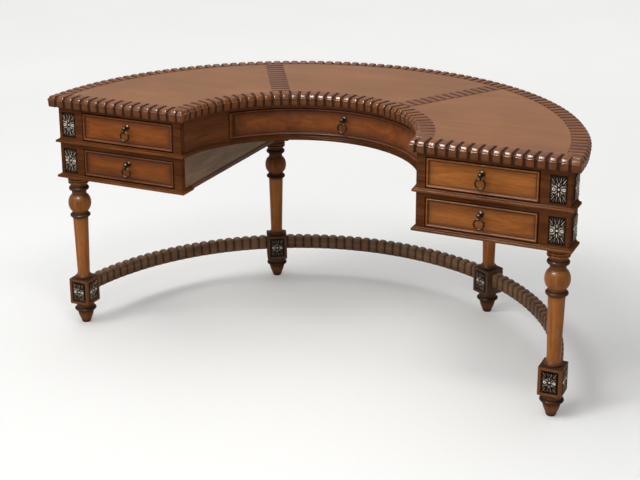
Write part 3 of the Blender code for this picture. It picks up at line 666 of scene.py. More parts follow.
# Dark lips round the drawer openings and plaque pockets: glaze and painted shade in the gaps
LIP_MARGIN = 0.0022
LIP_GLAZE_AND_SHADE = 0.08
FRAME_EASE = 0.0009
MOLDING_SECTION = (
    # out from the case, height over the underside, glaze and painted shade
    (0.0000, 0.0000, 0.4),
    (0.0094, 0.0000, 0.7),
    (0.0100, 0.0006, 0.9),
    (0.0100, 0.0064, 1.0),
    (0.0094, 0.0072, 0.9),
    (0.0074, 0.0075, 0.65),
    (0.0052, 0.0079, 0.7),
    (0.0035, 0.0088, 0.75),
    (0.0022, 0.0102, 0.7),
    (0.0016, MOLDING_HEIGHT, 0.5),
    (0.0000, MOLDING_HEIGHT, 0.4),
)


def corner_stations():
    """Plan stations (inner point, outer point) of a square corner behind the right face frame."""
    inside = CASE_RADIUS - WALL
    stations = []
    for near, far in ((WALL_START, WALL_START), (CORNER_BACK - SLACK, CORNER_BACK)):
        stations.append((polar(inside, at_depth(near)(inside)), (FRAME_OUTER_X, CENTRE_Y + far)))
    return stations


def arc_stations(last, steps):
    """Plan stations along the case's curve, from the back of the right corner to an end line."""
    inside = CASE_RADIUS - WALL
    first = at_depth(CORNER_BACK)
    near = [polar(inside, a) for a in spread(first(inside), last(inside), steps)]
    far = [polar(CASE_RADIUS, a) for a in spread(first(CASE_RADIUS), last(CASE_RADIUS), steps)]
    return list(zip(near, far))


def flip_stations(stations):
    return [((-a, b), (-c, d)) for (a, b), (c, d) in reversed(stations)]


def curved_board(name, stations, low, high):
    """Upright board over plan stations, with eased top and bottom edges."""
    layers = []
    run = 0.0
    for k, (near, far) in enumerate(stations):
        near, far = Vector(near), Vector(far)
        run += (far - Vector(stations[max(0, k - 1)][1])).length
        soft = far + (near - far).normalized() * BOARD_EASE
        layer = []
        for spot, z in (
            (near, low), (soft, low), (far, low + BOARD_EASE),
            (far, high - BOARD_EASE), (soft, high), (near, high),
        ):
            tone = BOARD_RIM_TONE if z in (low, high) else BOARD_TONE
            layer.append(((*spot, z), tone, (run, z, (spot - far).length)))
        layers.append(layer)
    skin(name, "_board", layers, frame_wood)


def knee_board(name, first, last, low, high, steps):
    """Curved board of the knee space; its shown face is the hollow one."""
    back = APRON_RADIUS + WALL
    layers = []
    for k in range(steps + 1):
        layer = []
        for radius, z in ((APRON_RADIUS, low), (back, low), (back, high), (APRON_RADIUS, high)):
            angle = first(radius) + (last(radius) - first(radius)) * k / steps
            layer.append(((*polar(radius, angle), z), KNEE_TONE, (radius * angle, z, radius)))
        layers.append(layer)
    skin(name, "_board", layers, knee_wood)


def molding(name, path, low):
    """Cove and fillet along a plan path, outside it, mitred at its corners and square at its ends."""
    layers = []
    run = 0.0
    for k, (x, y) in enumerate(path):
        before = Vector((x, y)) - Vector(path[k - 1])
        after = Vector(path[(k + 1) % len(path)]) - Vector((x, y))
        if k == 0:
            before = after
        if k == len(path) - 1:
            after = before
        run += before.length
        one = Vector((before.y, -before.x)).normalized()
        two = Vector((after.y, -after.x)).normalized()
        miter = (one + two) / (1.0 + one.dot(two))
        # painted shade on the run under the knee space
        in_knee = abs(x) < FRAME_INNER_X + SLACK and y > CENTRE_Y + FRONT_OVERHANG + SLACK
        shade = KNEE_SHADE if in_knee else 1.0
        layer = []
        for out, up, tone in MOLDING_SECTION:
            place = (x + miter.x * (GAP + out), y + miter.y * (GAP + out), low + up)
            layer.append((place, tone * shade, (run, up, out)))
        layers.append(layer)
    skin(name, "_run", layers, molding_wood, sharp=34.0)


def rectangle(left, right, low, high):
    """Corners of an upright rectangle, up its left side first."""
    return [(left, low), (left, high), (right, high), (right, low)]


def face_frame(word, side):
    """Pedestal front with two drawer openings and two pockets for the carved plaques."""
    outline = rectangle(FRAME_INNER_X, FRAME_OUTER_X, BASE_HEIGHT, CASE_TOP)[::-1]
    half_wide, half_tall = PLAQUE_SIZE[0] / 2, PLAQUE_SIZE[1] / 2
    holes = []
    for low, high in (LOWER_OPENING, UPPER_OPENING):
        holes.append((OPENING_INNER_X, OPENING_OUTER_X, low, high))
        middle = (low + high) / 2
        left, right = FRONT_LEG_X - half_wide, FRONT_LEG_X + half_wide
        holes.append((left, right, middle - half_tall, middle + half_tall))
    cut = [outline]
    for a, b, c, d in holes:
        cut.append(rectangle(a - LIP_MARGIN, b + LIP_MARGIN, c - LIP_MARGIN, d + LIP_MARGIN))
    flat = [corner for loop in cut for corner in loop]
    first_lip = len(flat)
    flat += [corner for hole in holes for corner in rectangle(*hole)]
    total = len(flat)
    points = [(side * u, CENTRE_Y + w, v) for w in (FRONT_OVERHANG, FRAME_BACK) for u, v in flat]
    tones = [1.0 if k < first_lip else LIP_GLAZE_AND_SHADE for k in range(total)] * 2
    faces = [tuple(t) for t in tessellate_polygon([[Vector((u, v, 0.0)) for u, v in loop] for loop in cut])]
    faces += [tuple(total + k for k in reversed(t)) for t in faces]
    for k in range(4):
        n = (k + 1) % 4
        faces.append((k, n, total + n, total + k))
        for h in range(len(holes)):
            rim, lip = 4 + 4 * h, first_lip + 4 * h
            faces.append((rim + k, rim + n, lip + n, lip + k))
            faces.append((total + rim + k, total + rim + n, total + lip + n, total + lip + k))
            faces.append((lip + k, lip + n, total + lip + n, total + lip + k))
    name = "face_frame_" + word
    obj = piece(name + "_wood", points, faces, frame_wood, [name], tone=tones)
    ease = obj.modifiers.new("ease", "BEVEL")
    ease.width = FRAME_EASE
    ease.segments = 2
    ease.limit_method = "ANGLE"


start = at_depth(WALL_START)
stations = corner_stations() + arc_stations(mirrored(at_depth(CORNER_BACK)), APRON_STEPS)
curved_board("outer_apron", stations + flip_stations(corner_stations()), TIER_HEIGHT, CASE_TOP)
opening = at_width(CENTER_HALF)
knee_board("knee_apron_right", start, opening, TIER_HEIGHT, CASE_TOP, KNEE_STEPS)
knee_board("knee_apron_left", mirrored(start), mirrored(opening), TIER_HEIGHT, CASE_TOP, KNEE_STEPS)
over = at_width(CENTER_HALF - GAP)
knee_board("knee_rail", over, mirrored(over), UPPER_OPENING[1], CASE_TOP, RAIL_STEPS)

face_y = CENTRE_Y + FRONT_OVERHANG
outer_run = [(FRAME_OUTER_X, face_y), (FRAME_OUTER_X, CENTRE_Y + CORNER_BACK)]
inner_run = [(FRAME_INNER_X, face_y + MOLDING_RETURN), (FRAME_INNER_X, face_y)]
narrow = at_depth(FRONT_OVERHANG)(APRON_RADIUS)
knee_run = [polar(APRON_RADIUS, a) for a in spread(pi - narrow, narrow, KNEE_RUN_STEPS)]
molding("waist_molding", flip(outer_run, -1) + knee_run + outer_run, TIER_HEIGHT)

rear = beside(REAR_LEG_ANGLE, -POST_WIDTH / 2 - GAP)
for word, side in SIDES:
    face_frame(word, side)
    stations = corner_stations() + arc_stations(rear, SIDE_STEPS)
    if side < 0:
        stations = flip_stations(stations)
    curved_board("outer_side_" + word, stations, BASE_HEIGHT, TIER_HEIGHT - GAP)
    molding("base_molding_" + word, flip(inner_run + outer_run, side), BASE_HEIGHT)


# Carved plaques

PLAQUE_RELIEF = 0.0042
PLAQUE_BACK = 0.002
PLAQUE_COLUMNS = 60
PLAQUE_ROWS = 100
PLAQUE_BORDER = 0.06
POCKET = 0.0028
EYES = (
    # place across, radius of the ring and half the ring's width, in half widths of the plaque
    (-0.61, 0.14, 0.080),
    (0.0, 0.0, 0.16),
    (0.61, 0.14, 0.080),
)
# the eyes' white dots are a painted highlight
EYE_SHINE = 1.25
EYE_CLEARANCE = 0.25
LEAVES = (
    # how many, share of a step they are turned by, start and end as shares of the reach, lift, half width
    (8, 0.0, 0.22, 0.54, 1.0, 0.106),
    (8, 0.5, 0.28, 0.48, 0.9, 0.060),
    (16, 0.5, 0.50, 0.96, 0.96, 0.072),
    (16, 0.0, 0.66, 0.98, 0.9, 0.048),
)
LEAF_BASE = 0.12
LEAF_FULLNESS = 0.6
REACH_ACROSS = 0.95
REACH_UP = 0.96
LEAST_SLOPE = 0.01
# painted light on the leaves: some lighter than others, brightest on their crests
LEAF_LIGHT_CHANGE = 0.08
SHINE_CURVE = 1.2
LEAF_PHASE = 4.4
RING_PHASE = 9.0
START_PHASE = 3.0
TIP_FADE = 0.16


def leaf(across, along, width):
    """Round leaf section that swells and tapers along its length."""
    if not 0.0 <= along <= 1.0:
        return 0.0
    half = width * sin(pi * (LEAF_BASE + (1.0 - LEAF_BASE) * along)) ** LEAF_FULLNESS
    if abs(across) >= half:
        return 0.0
    return sqrt(1.0 - (across / half) ** 2)


def rosette(x, y, tall, rubbed):
    """Height and brightness of the carving at a point, with x from -1 to 1 and y from -tall to tall; the
    brightness is silver leaf with a painted highlight, and its change from leaf to leaf is painted light.
    """
    reach = hypot(x, y)
    turn = atan2(y, x)
    height = shine = 0.0
    clear = reach
    for eye, middle, half in EYES:
        away = hypot(x - eye, y)
        clear = min(clear, away)
        dot = sqrt(max(0.0, 1.0 - ((away - middle) / half) ** 2))
        height = max(height, dot)
        shine = max(shine, min(1.0, EYE_SHINE * dot))
    if clear > EYE_CLEARANCE:
        for count, shift, begin, end, lift, width in LEAVES:
            step = 2.0 * pi / count
            number = (turn / step - shift + 0.5) // 1
            near = (number + shift) * step
            wave = sin(LEAF_PHASE * (number % count) + RING_PHASE * shift + START_PHASE * begin)
            leaf_light = rubbed * (1.0 - LEAF_LIGHT_CHANGE + LEAF_LIGHT_CHANGE * wave)
            across = REACH_ACROSS / max(abs(cos(near)), LEAST_SLOPE)
            limit = min(across, REACH_UP * tall / max(abs(sin(near)), LEAST_SLOPE))
            off = turn - near
            along = (reach * cos(off) / limit - begin) / (end - begin)
            lobe = lift * leaf(reach * sin(off), along, width)
            height = max(height, lobe)
            shine = max(shine, leaf_light * lobe**SHINE_CURVE * (1.0 - TIP_FADE * min(1.0, reach / limit)))
    rim = max(0.0, min(1.0, (1.0 - abs(x)) / PLAQUE_BORDER, (tall - abs(y)) / PLAQUE_BORDER))
    return height * rim, shine * rim


def plaque_mesh(name, size, rubbed):
    """Carved plate: x across, z up, its ground on y = 0 and its leaves raised towards -y."""
    width, height = size
    tall = height / width
    points, tones = [], []
    for v in spread(-1.0, 1.0, PLAQUE_ROWS):
        for u in spread(-1.0, 1.0, PLAQUE_COLUMNS):
            lift, shine = rosette(u, v * tall, tall, rubbed)
            points.append((u * width / 2, -PLAQUE_RELIEF * lift, v * height / 2))
            tones.append(shine)
    faces, rim = slab(points, PLAQUE_ROWS + 1, lambda x, y, z: (x, PLAQUE_BACK, z))
    faces.append(tuple(range(len(points) - len(rim), len(points))))
    tones += [0.0] * len(rim)
    mesh = bpy.data.meshes.new(name)
    mesh.from_pydata(points, [], faces)
    dress(mesh, carving, tones, sharp=60.0)
    return mesh


def place_plaque(name, mesh, spot, turn):
    """Hang a carved plate upright at a spot, facing the given way in plan."""
    obj = add_object(name, mesh)
    obj.matrix_world = Matrix.Translation(spot) @ Matrix.Rotation(turn + pi / 2, 4, "Z")
    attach(obj, "desk")


case_plaque = plaque_mesh("case_plaque", PLAQUE_SIZE, rubbed=1.0)
block_plaque = plaque_mesh("block_plaque", BLOCK_PLAQUE_SIZE, rubbed=0.83)
for word, side in SIDES:
    for tier, (low, high) in (("lower", LOWER_OPENING), ("upper", UPPER_OPENING)):
        middle = (low + high) / 2
        spot = (side * FRONT_LEG_X, CENTRE_Y + FRONT_OVERHANG + POCKET, middle)
        place_plaque(f"plaque_front_{tier}_{word}", case_plaque, spot, -pi / 2)
        spot = (side * (FRAME_OUTER_X + GAP), CENTRE_Y + WALL_START + SIDE_PLAQUE_INSET, middle)
        facing = 0.0 if side > 0 else pi
        place_plaque(f"plaque_side_{tier}_{word}", case_plaque, spot, facing)


# Turned legs

HEAD_START = 0.361
BALL_CUT = 0.94
BLOCK_EASE = 0.0014
BLOCK_TONE = 0.31
# painted shade in a block's pockets and on its top and bottom faces
SUNK_SHADE = 0.05
POCKET_SLOPE = 0.0004
BROAD_FACE = 0.003
SAME_WAY = 0.99


def roll(low, high, base, reach, tone, gain=0.12, count=8):
    """Half-round ring on a turning, as (height, radius, glaze and painted shade) steps."""
    steps = []
    for angle in spread(0.0, pi, count):
        height = (low + high) / 2 - (high - low) / 2 * cos(angle)
        steps.append((height, base + (reach - base) * sin(angle), tone + gain * sin(angle)))
    return steps


def ball(low, high, base, reach, tone=0.25, gain=0.6, count=16):
    """Ball turning between two necks, darker towards them with glaze and painted shade."""
    neck = sqrt(1.0 - BALL_CUT**2)
    steps = []
    for t in spread(-BALL_CUT, BALL_CUT, count):
        height = (low + high) / 2 + t / BALL_CUT * (high - low) / 2
        width = sqrt(1.0 - t * t)
        steps.append((height, base + (reach - base) * (width - neck) / (1.0 - neck), tone + gain * width))
    return steps


def shaft(low, high, thin, thick, first, last, count=6):
    """Part of a tapered shaft, from a first to a last height."""
    return [(z, thin + (thick - thin) * (z - low) / (high - low), 1.0) for z in spread(first, last, count)]


def leg_outline():
    """Outline of a leg from the floor up: (height, radius, glaze and painted shade)."""
    steps = [(0.0, 0.0125, 0.05), (0.0010, 0.0135, 0.05), (0.0040, 0.0140, 0.05), (0.0045, 0.0150, 0.3)]
    steps += [(0.0100, 0.0165, 0.5), (0.0160, 0.0190, 0.7), (0.0220, 0.0216, 0.8), (0.0280, 0.0236, 0.8)]
    steps += [(0.0340, 0.0250, 0.65), (0.0400, 0.0258, 0.35), (0.0430, 0.0256, 0.15)]
    steps += roll(0.0434, 0.0528, 0.0282, 0.0345, 0.05)
    steps += [(0.0540, 0.0280, 0.2), (0.0600, 0.0278, 0.5), (0.0686, 0.0288, 0.3), (0.0700, 0.0200, 0.2)]
    steps += [(0.1532, 0.0200, 0.2), (0.1540, 0.0258, 0.2)]
    steps += roll(0.1544, 0.1632, 0.0240, 0.0263, 0.12)
    steps += [(0.1642, 0.0218, 0.25), (0.1680, 0.0202, 0.55), (0.1740, 0.0195, 0.9)]
    steps += shaft(0.1740, 0.3560, 0.0195, 0.0240, 0.190, 0.344)
    steps += [(0.3530, 0.0240, 0.85), (0.3590, 0.0244, 0.5), (0.3612, 0.0248, 0.2)]
    steps += roll(0.3618, 0.3736, 0.0252, 0.0319, 0.03)
    steps += [(0.3748, 0.0252, 0.15), (0.3790, 0.0250, 0.25)]
    steps += ball(0.3806, 0.4362, 0.0236, 0.0359)
    steps += [(0.4380, 0.0236, 0.25), (0.4420, 0.0224, 0.3), (0.4468, 0.0232, 0.3), (0.4506, 0.0250, 0.2)]
    steps += roll(0.4512, 0.4640, 0.0256, 0.0316, 0.03)
    steps += [(0.4652, 0.0258, 0.2), (0.4700, 0.0264, 0.25), (0.4728, 0.0280, 0.2)]
    steps += roll(0.4734, 0.4818, 0.0282, 0.0326, 0.04, 0.5)
    steps += roll(0.4822, 0.4906, 0.0288, 0.0330, 0.04, 0.5)
    steps += roll(0.4910, LEG_TOP, 0.0292, 0.0325, 0.04, 0.5)
    return steps


def leg_turning(name, spot, foot_shade, head_shade):
    """Round parts of a leg; painted shade darkens its foot and its head more than its shaft."""
    layers = []
    for height, radius, tone in leg_outline():
        if height < BLOCK_BOTTOM:
            tone *= foot_shade
        if height > HEAD_START:
            tone *= head_shade
        ring = circle(radius, TURN_STEPS)
        layers.append([((spot[0] + x, spot[1] + y, height), tone, (height, x, y)) for x, y in ring])
    skin(name, "_turning", layers, leg_wood, sharp=50.0)


def leg_block(name, spot, turn, carved, block_wood):
    """Square block of a leg, with a plaque sunk in each carved side."""
    shape = bmesh.new()
    bmesh.ops.create_cube(shape, size=1.0)
    scale = (BLOCK_WIDTH, BLOCK_WIDTH, BLOCK_TOP - BLOCK_BOTTOM - GAP)
    bmesh.ops.scale(shape, vec=scale, verts=shape.verts)
    bmesh.ops.bevel(shape, geom=shape.edges[:], offset=BLOCK_EASE, segments=2, profile=0.5, affect="EDGES")
    ways = [Vector((cos(a), sin(a), 0.0)) for a in carved]
    broad = [f for f in shape.faces if f.calc_area() > BROAD_FACE]
    sides = [f for f in broad if any(f.normal.dot(way) > SAME_WAY for way in ways)]
    margin = (BLOCK_WIDTH - BLOCK_PLAQUE_SIZE[0]) / 2 - BLOCK_EASE
    bmesh.ops.inset_individual(shape, faces=sides, thickness=margin, depth=0.0)
    bmesh.ops.inset_individual(shape, faces=sides, thickness=POCKET_SLOPE, depth=-POCKET)
    sunk = {v for f in sides for v in f.verts}
    place = Matrix.Translation((spot[0], spot[1], BLOCK_MIDDLE)) @ Matrix.Rotation(turn, 4, "Z")
    high = scale[2] / 2 - SLACK
    tones = [SUNK_SHADE if v in sunk or abs(v.co.z) > high else BLOCK_TONE for v in shape.verts]
    grain = [(v.co.z, v.co.x, v.co.y) for v in shape.verts]
    points = [place @ v.co for v in shape.verts]
    shape.verts.index_update()
    faces = [[v.index for v in f.verts] for f in shape.faces]
    shape.free()
    piece(name + "_block", points, faces, block_wood, tone=tones, grain=grain)
    reach = BLOCK_WIDTH / 2 - POCKET
    for number, angle in enumerate(carved):
        way = turn + angle
        seat = (spot[0] + reach * cos(way), spot[1] + reach * sin(way), BLOCK_MIDDLE)
        place_plaque(f"{name}_plaque_{number + 1}", block_plaque, seat, way)


for word, side in SIDES:
    spot = (side * FRONT_LEG_X, CENTRE_Y + FRONT_LEG_Y)
    # foot and head shades are painted shade, deeper on the rear legs, whose blocks take the darker wood as
    # painted shade
    leg_turning("leg_front_" + word, spot, foot_shade=0.46, head_shade=0.9)
    leg_block("leg_front_" + word, spot, 0.0, (0.0, pi, -pi / 2), leg_wood)
    angle = REAR_LEG_ANGLE if side > 0 else pi - REAR_LEG_ANGLE
    spot = polar(LEG_RADIUS, angle)
    leg_turning("leg_rear_" + word, spot, foot_shade=0.38, head_shade=0.42)
    leg_block("leg_rear_" + word, spot, angle, (0.0, pi), dark_wood)


# Ribbed stretchers

STRETCHER_EASE = 0.0062
RIDGE_CUT = 0.0062
RIDGE_NICK = 0.0018
RIDGE_ROUNDNESS = 2.4
RIDGE_TONE = 0.95
RIDGE_SHADE = 0.90
SHADE_CURVE = 2.2
UNDER_SHADE = 0.25
UNDER_SHADE_GAIN = 0.65


def stretcher(name, first, last):
    """Curved bar between two end lines, with round ridges across its top."""
    length = LEG_RADIUS * (last(LEG_RADIUS) - first(LEG_RADIUS))
    half = STRETCHER_WIDTH / 2
    layers = []
    ridges = round(length / RIDGE_PITCH)
    for t, height in rib_stations(ridges):
        from_crest = abs(2.0 * (t * ridges % 1.0) - 1.0)
        nick = RIDGE_NICK * (1.0 - height)
        # painted shade: darker away from each ridge's crest, and darker still underneath
        shade = RIDGE_TONE - RIDGE_SHADE * from_crest**SHADE_CURVE
        under = UNDER_SHADE + UNDER_SHADE_GAIN * rib_tone(height)
        shoulder = STRETCHER_TOP - RIDGE_CUT * from_crest**RIDGE_ROUNDNESS - STRETCHER_EASE
        reach = half - STRETCHER_EASE - nick
        section = [(-half + nick, STRETCHER_BOTTOM), (half - nick, STRETCHER_BOTTOM)]
        for middle, begin in ((reach, 0.0), (-reach, pi / 2)):
            for a in spread(begin, begin + pi / 2, 4):
                across, up = STRETCHER_EASE * cos(a), STRETCHER_EASE * sin(a)
                section.append((middle + across, shoulder + up))
        layer = []
        for out, z in section:
            radius = LEG_RADIUS + out
            angle = first(radius) + (last(radius) - first(radius)) * t
            tone = shade if z > STRETCHER_BOTTOM else under
            layer.append(((*polar(radius, angle), z), tone, (radius * angle, out, z)))
        layers.append(layer)
    skin(name, "_ribs", layers, dark_wood)


clear = BLOCK_WIDTH / 2 + GAP
front = at_depth(FRONT_LEG_Y + clear)
before = beside(REAR_LEG_ANGLE, -clear)
after = beside(REAR_LEG_ANGLE, clear)
stretcher("stretcher_right", front, before)
stretcher("stretcher_rear", after, mirrored(after))
stretcher("stretcher_left", mirrored(before), mirrored(front))


# Drawers and pulls

FRONT_SECTION = (
    # in from the rim, depth under the bead's crest, glaze and painted shade, darkest as painted shade in
    # the reveal at the rim and in the crease at the field's edge
    (0.0000, 0.0040, 0.02),
    (0.0008, 0.0034, 0.02),
    (0.0014, 0.0014, 0.20),
    (0.0021, 0.0004, 0.50),
    (0.0029, 0.0000, 0.66),
    (0.0042, 0.0000, 0.70),
    (0.0052, 0.0004, 0.66),
    (0.0060, 0.0013, 0.56),
    (0.0066, 0.0026, 0.42),
    (0.0072, 0.0044, 0.26),
    (0.0080, 0.0052, 0.12),
    (0.0092, 0.0053, 0.14),
    (0.0106, 0.0050, 0.42),
    (0.0160, 0.0050, 0.56),
    (0.0260, 0.0050, 0.77),
)
# painted shade on the field's rim clears this fast, per metre in
FIELD_FADE = 18.0
BACK_TONE = 0.5
# Share of each front's tone kept: on the centre drawer, set back under the top, this is painted shade; the
# other fronts are just made darker
DRAWER_DARKENING = {"center": 0.50, "upper_left": 0.70, "lower_left": 0.57, "lower_right": 0.9}
PLATE_OUTLINE = (
    # reach from the drawer, radius
    (0.0, 0.0085), (0.0008, 0.0088), (0.0018, 0.0086), (0.0026, 0.0078), (0.0034, 0.0062),
    (0.0042, 0.0048), (0.0054, 0.0042), (0.0080, 0.0040),
)
BALL_START = 0.16 * pi
BALL_END = 0.99 * pi
EYE_RADIUS = 0.0041
EYE_WIRE = 0.0014


def section_at(inset):
    """Depth, and glaze with painted shade, this far in from a front's rim."""
    for (a, da, ta), (b, db, tb) in zip(FRONT_SECTION, FRONT_SECTION[1:]):
        if inset <= b:
            t = (inset - a) / (b - a)
            return da + (db - da) * t, ta + (tb - ta) * t
    edge, depth, tone = FRONT_SECTION[-1]
    return depth, min(1.0, tone + (inset - edge) * FIELD_FADE)


def drawer_front(word, left, right, low, high, surface, steps):
    """Drawer front with a bead round a sunk field, on a flat or curved surface."""
    insets = [row[0] for row in FRONT_SECTION]
    columns = [left + d for d in insets] + spread(left + insets[-1], right - insets[-1], steps)[1:-1]
    columns += [right - d for d in reversed(insets)]
    rows = [low + d for d in insets] + [(low + high) / 2] + [high - d for d in reversed(insets)]
    points, tones = [], []
    for x in columns:
        for z in rows:
            depth, tone = section_at(min(x - left, right - x, z - low, high - z))
            points.append((x, surface(x, depth), z))
            tones.append(tone * DRAWER_DARKENING.get(word, 1.0))
    faces, rim = slab(points, len(columns), lambda x, y, z: (x, surface(x, FRONT_THICKNESS), z))
    tones += [BACK_TONE] * len(rim)
    first = len(points) - len(rim)
    back = {k: first + n for n, k in enumerate(rim)}
    count = len(rows)
    last = len(columns) - 1
    for i in range(last):
        a, b = i * count, (i + 1) * count
        if i == 0:
            side = [back[j] for j in range(count)]
            faces.append([*side[::-1], back[b], back[b + count - 1]][::-1])
        elif i == last - 1:
            side = [back[b + j] for j in range(count)]
            faces.append([back[a], *side, back[a + count - 1]])
        else:
            faces.append((back[a], back[b], back[b + count - 1], back[a + count - 1]))
    name = word + "_drawer_front"
    material = front_wood if word.endswith("right") else red_wood
    body = word + "_drawer"
    piece(name + "_wood", points, faces, material, [name], body, tones, sharp=50.0)


def loop(spot, radius, wire, steps, across):
    """Round wire ring about a spot; across tells whether its plane faces the user."""
    rings = []
    for up, along in circle(1.0, steps[0]):
        ring = []
        for out, off in circle(wire, steps[1]):
            u, v = (radius + out) * along, (radius + out) * up
            place = (u, off, v) if across else (off, u, v)
            ring.append((spot[0] + place[0], spot[1] + place[1], spot[2] + place[2]))
        rings.append(ring)
    return sweep(rings, True)


def pull(word, spot):
    """Domed plate, stem, ball and eye on the drawer, and the ring that hangs in the eye."""
    outline = list(PLATE_OUTLINE)
    for angle in spread(BALL_START, BALL_END, 10):
        outline.append((POST_REACH - BALL_RADIUS * cos(angle), BALL_RADIUS * sin(angle)))
    turned = []
    for reach, radius in outline:
        turned.append([(spot[0] + x, spot[1] - reach, spot[2] + z) for x, z in circle(radius, POST_STEPS)])
    points, faces = sweep(turned)
    eye = (spot[0], spot[1] - POST_REACH, spot[2] - EYE_DROP)
    more, rings = loop(eye, EYE_RADIUS, EYE_WIRE, EYE_STEPS, False)
    first = len(points)
    points += more
    faces += [tuple(first + k for k in f) for f in rings]
    post = word + "_pull_post"
    piece(post + "_brass", points, faces, brass, [post], word + "_drawer", sharp=50.0)
    hang = (eye[0], eye[1], eye[2] - RING_RADIUS)
    points, faces = loop(hang, RING_RADIUS, RING_WIRE, RING_STEPS, True)
    ring = word + "_pull_ring"
    piece(ring + "_brass", points, faces, brass, [ring], word + "_ring")


def flat_surface(x, depth):
    return CENTRE_Y + FRONT_OVERHANG - FRONT_PROUD + depth


def curved_surface(x, depth):
    return CENTRE_Y + sqrt((APRON_RADIUS - FRONT_PROUD + depth) ** 2 - x**2)


def drawer(word, left, right, opening, surface, steps):
    """Front and pull of one drawer, in an opening of the case."""
    low, high = opening[0] + DRAWER_CLEARANCE, opening[1] - DRAWER_CLEARANCE
    left, right = left + DRAWER_CLEARANCE, right - DRAWER_CLEARANCE
    drawer_front(word, left, right, low, high, surface, steps)
    post_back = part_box(word + "_pull_post")[1].y
    pull(word, ((left + right) / 2, post_back, (low + high) / 2 + PULL_RISE))


for tier, gap in (("upper", UPPER_OPENING), ("lower", LOWER_OPENING)):
    drawer(tier + "_right", OPENING_INNER_X, OPENING_OUTER_X, gap, flat_surface, FLAT_STEPS)
    drawer(tier + "_left", -OPENING_OUTER_X, -OPENING_INNER_X, gap, flat_surface, FLAT_STEPS)
drawer("center", -CENTER_HALF, CENTER_HALF, UPPER_OPENING, curved_surface, CURVED_STEPS)


# Nodes that stay as the model has them, with their woods

KEPT = {"top_board": inside_wood, "tier_board": wall_wood}
for word in ("left", "center", "right"):
    KEPT["panel_" + word] = panel_wood
for word, side in SIDES:
    KEPT["inner_wall_" + word] = wall_wood
    KEPT["rear_post_" + word] = board_wood
    KEPT["bottom_board_" + word] = board_wood
for word in ("upper_left", "lower_left", "center", "upper_right", "lower_right"):
    KEPT[word + "_drawer_frame"] = inside_wood
    KEPT[word + "_drawer_bottom"] = inside_wood
for name, material in KEPT.items():
    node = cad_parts[name]
    for slot in node.material_slots:
        slot.material = material


# Stage, light and camera

FLOOR_REACH = 30.0
FLOOR_BOUNCE = (0.72, 0.72, 0.71)
NEAR_GLOW = 0.11
FAR_GLOW = 0.25
GLOW_START = 1.2
GLOW_END = 4.0
WARM_WHITE = (1.0, 0.985, 0.96)
SENSOR_WIDTH = 36.0
FOCAL_PIXELS = 1334.1
PICTURE_PIXELS = 640.0
CAMERA_SHIFT = -0.15
CAMERA_PLACE = (1.6041, -3.6809, 1.7819)
CAMERA_DOWN = 16.457
CAMERA_TURN = 24.863
CAMERA_ROLL = -0.207


def floor():
    """White floor that looks a little brighter far away from the desk."""
    material, tree, shader = start_material("floor_paint")
    cloud = noise(object_place(tree, (1.4, 1.4, 1.4)), detail=2.0, roughness=0.4)
    tint = ramp(cloud, ((0.3, (0.85, 0.85, 0.838)), (0.7, (0.87, 0.87, 0.86))))
    rays = tree.nodes.new("ShaderNodeLightPath").outputs
    seen = rays["Is Camera Ray"]
    plug_in(shader, Base_Color=mix("MIX", seen, FLOOR_BOUNCE, tint))
    for kind in ("Is Glossy Ray", "Is Transmission Ray"):
        seen = calculate("MAXIMUM", seen, rays[kind])
    away = add_node(tree, "ShaderNodeVectorMath", {"operation": "LENGTH"})
    plug(away.inputs[0], tree.nodes.new("ShaderNodeTexCoord").outputs["Object"])
    far = stretch(away.outputs["Value"], NEAR_GLOW, FAR_GLOW, GLOW_START, GLOW_END)
    glow = calculate("MULTIPLY", seen, far)
    plug_in(shader, Emission_Color=(1.0, 1.0, 0.99), Emission_Strength=glow)
    plug_in(shader, Roughness=0.7, Specular_IOR_Level=0.0)
    mesh = bpy.data.meshes.new("floor")
    corners = [(x * FLOOR_REACH, y * FLOOR_REACH, 0.0) for x, y in ((-1, -1), (1, -1), (1, 1), (-1, 1))]
    mesh.from_pydata(corners, [], [(0, 1, 2, 3)])
    mesh.materials.append(material)
    obj = add_object("floor", mesh)


def area_light(name, spot, aim, size, watts, color, matte=True):
    """Soft panel; without matte it only shows as a reflection in polished surfaces."""
    lamp = bpy.data.lights.new(name, "AREA")
    lamp.shape = "RECTANGLE"
    lamp.size, lamp.size_y = size
    lamp.energy = watts
    lamp.color = color
    obj = add_object(name, lamp)
    obj.location = spot
    obj.rotation_euler = (Vector(aim) - Vector(spot)).to_track_quat("-Z", "Y").to_euler()
    obj.visible_diffuse = matte


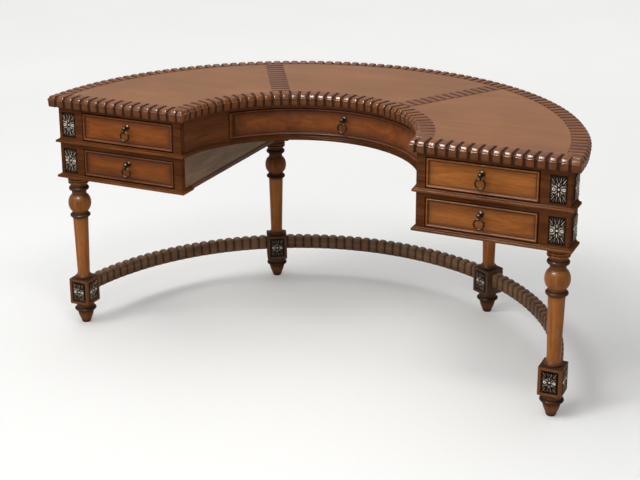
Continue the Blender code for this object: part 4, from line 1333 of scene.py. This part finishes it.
def sun_light(name, toward, strength, spread_deg, color):
    """Even soft light from a far panel; toward points from the object to it."""
    lamp = bpy.data.lights.new(name, "SUN")
    lamp.energy = strength
    lamp.angle = radians(spread_deg)
    lamp.color = color
    obj = add_object(name, lamp)
    obj.rotation_euler = Vector(toward).to_track_quat("Z", "Y").to_euler()


def studio():
    """World light, brighter above, behind and to the left."""
    world = bpy.data.worlds.new("studio")
    world.use_nodes = True
    tree = world.node_tree
    coords = tree.nodes.new("ShaderNodeTexCoord")
    way = add_node(tree, "ShaderNodeSeparateXYZ", Vector=coords.outputs["Generated"])
    up = stretch(way.outputs["Z"], 0.34, 0.58)
    back = stretch(way.outputs["Y"], 0.0, 0.18)
    side = stretch(way.outputs["X"], 0.18, -0.18, -1.0, 1.0)
    total = calculate("ADD", calculate("ADD", up, back), side)
    plug_in(tree.nodes["Background"], Color=(0.98, 0.99, 1.0), Strength=total)
    bpy.context.scene.world = world


def camera():
    """Camera fitted to the photograph; its shift partly straightens the desk's upright lines."""
    lens = bpy.data.cameras.new("camera")
    lens.sensor_width = SENSOR_WIDTH
    lens.lens = SENSOR_WIDTH * FOCAL_PIXELS / PICTURE_PIXELS
    lens.shift_y = CAMERA_SHIFT
    aim = Euler((radians(90.0 - CAMERA_DOWN), 0.0, radians(CAMERA_TURN))).to_matrix()
    aim = aim @ Matrix.Rotation(radians(CAMERA_ROLL), 3, "Z")
    obj = add_object("camera", lens)
    obj.matrix_world = Matrix.Translation(CAMERA_PLACE) @ aim.to_4x4()
    bpy.context.scene.camera = obj


floor()
sun_light("key", (-0.46, -0.56, 0.69), 0.76, 20.0, WARM_WHITE)
area_light("near", (0.2, -2.2, 1.65), (0.0, -0.2, 0.4), (0.5, 0.5), 4.6, WARM_WHITE)
area_light("overhead", (-1.0, 0.1, 3.2), (0.0, -0.1, 0.5), (2.4, 2.4), 24.0, (1.0, 0.99, 0.97))
area_light("softbox", (0.25, -1.1, 2.55), (0.1, -0.35, 0.7), (0.8, 0.5), 12.0, WARM_WHITE)
area_light("shine", (-0.5, -1.9, 2.75), (0.1, -0.4, 0.7), (1.4, 0.7), 350.0, WARM_WHITE, False)
studio()
camera()

bpy.context.scene.view_settings.view_transform = "Standard"
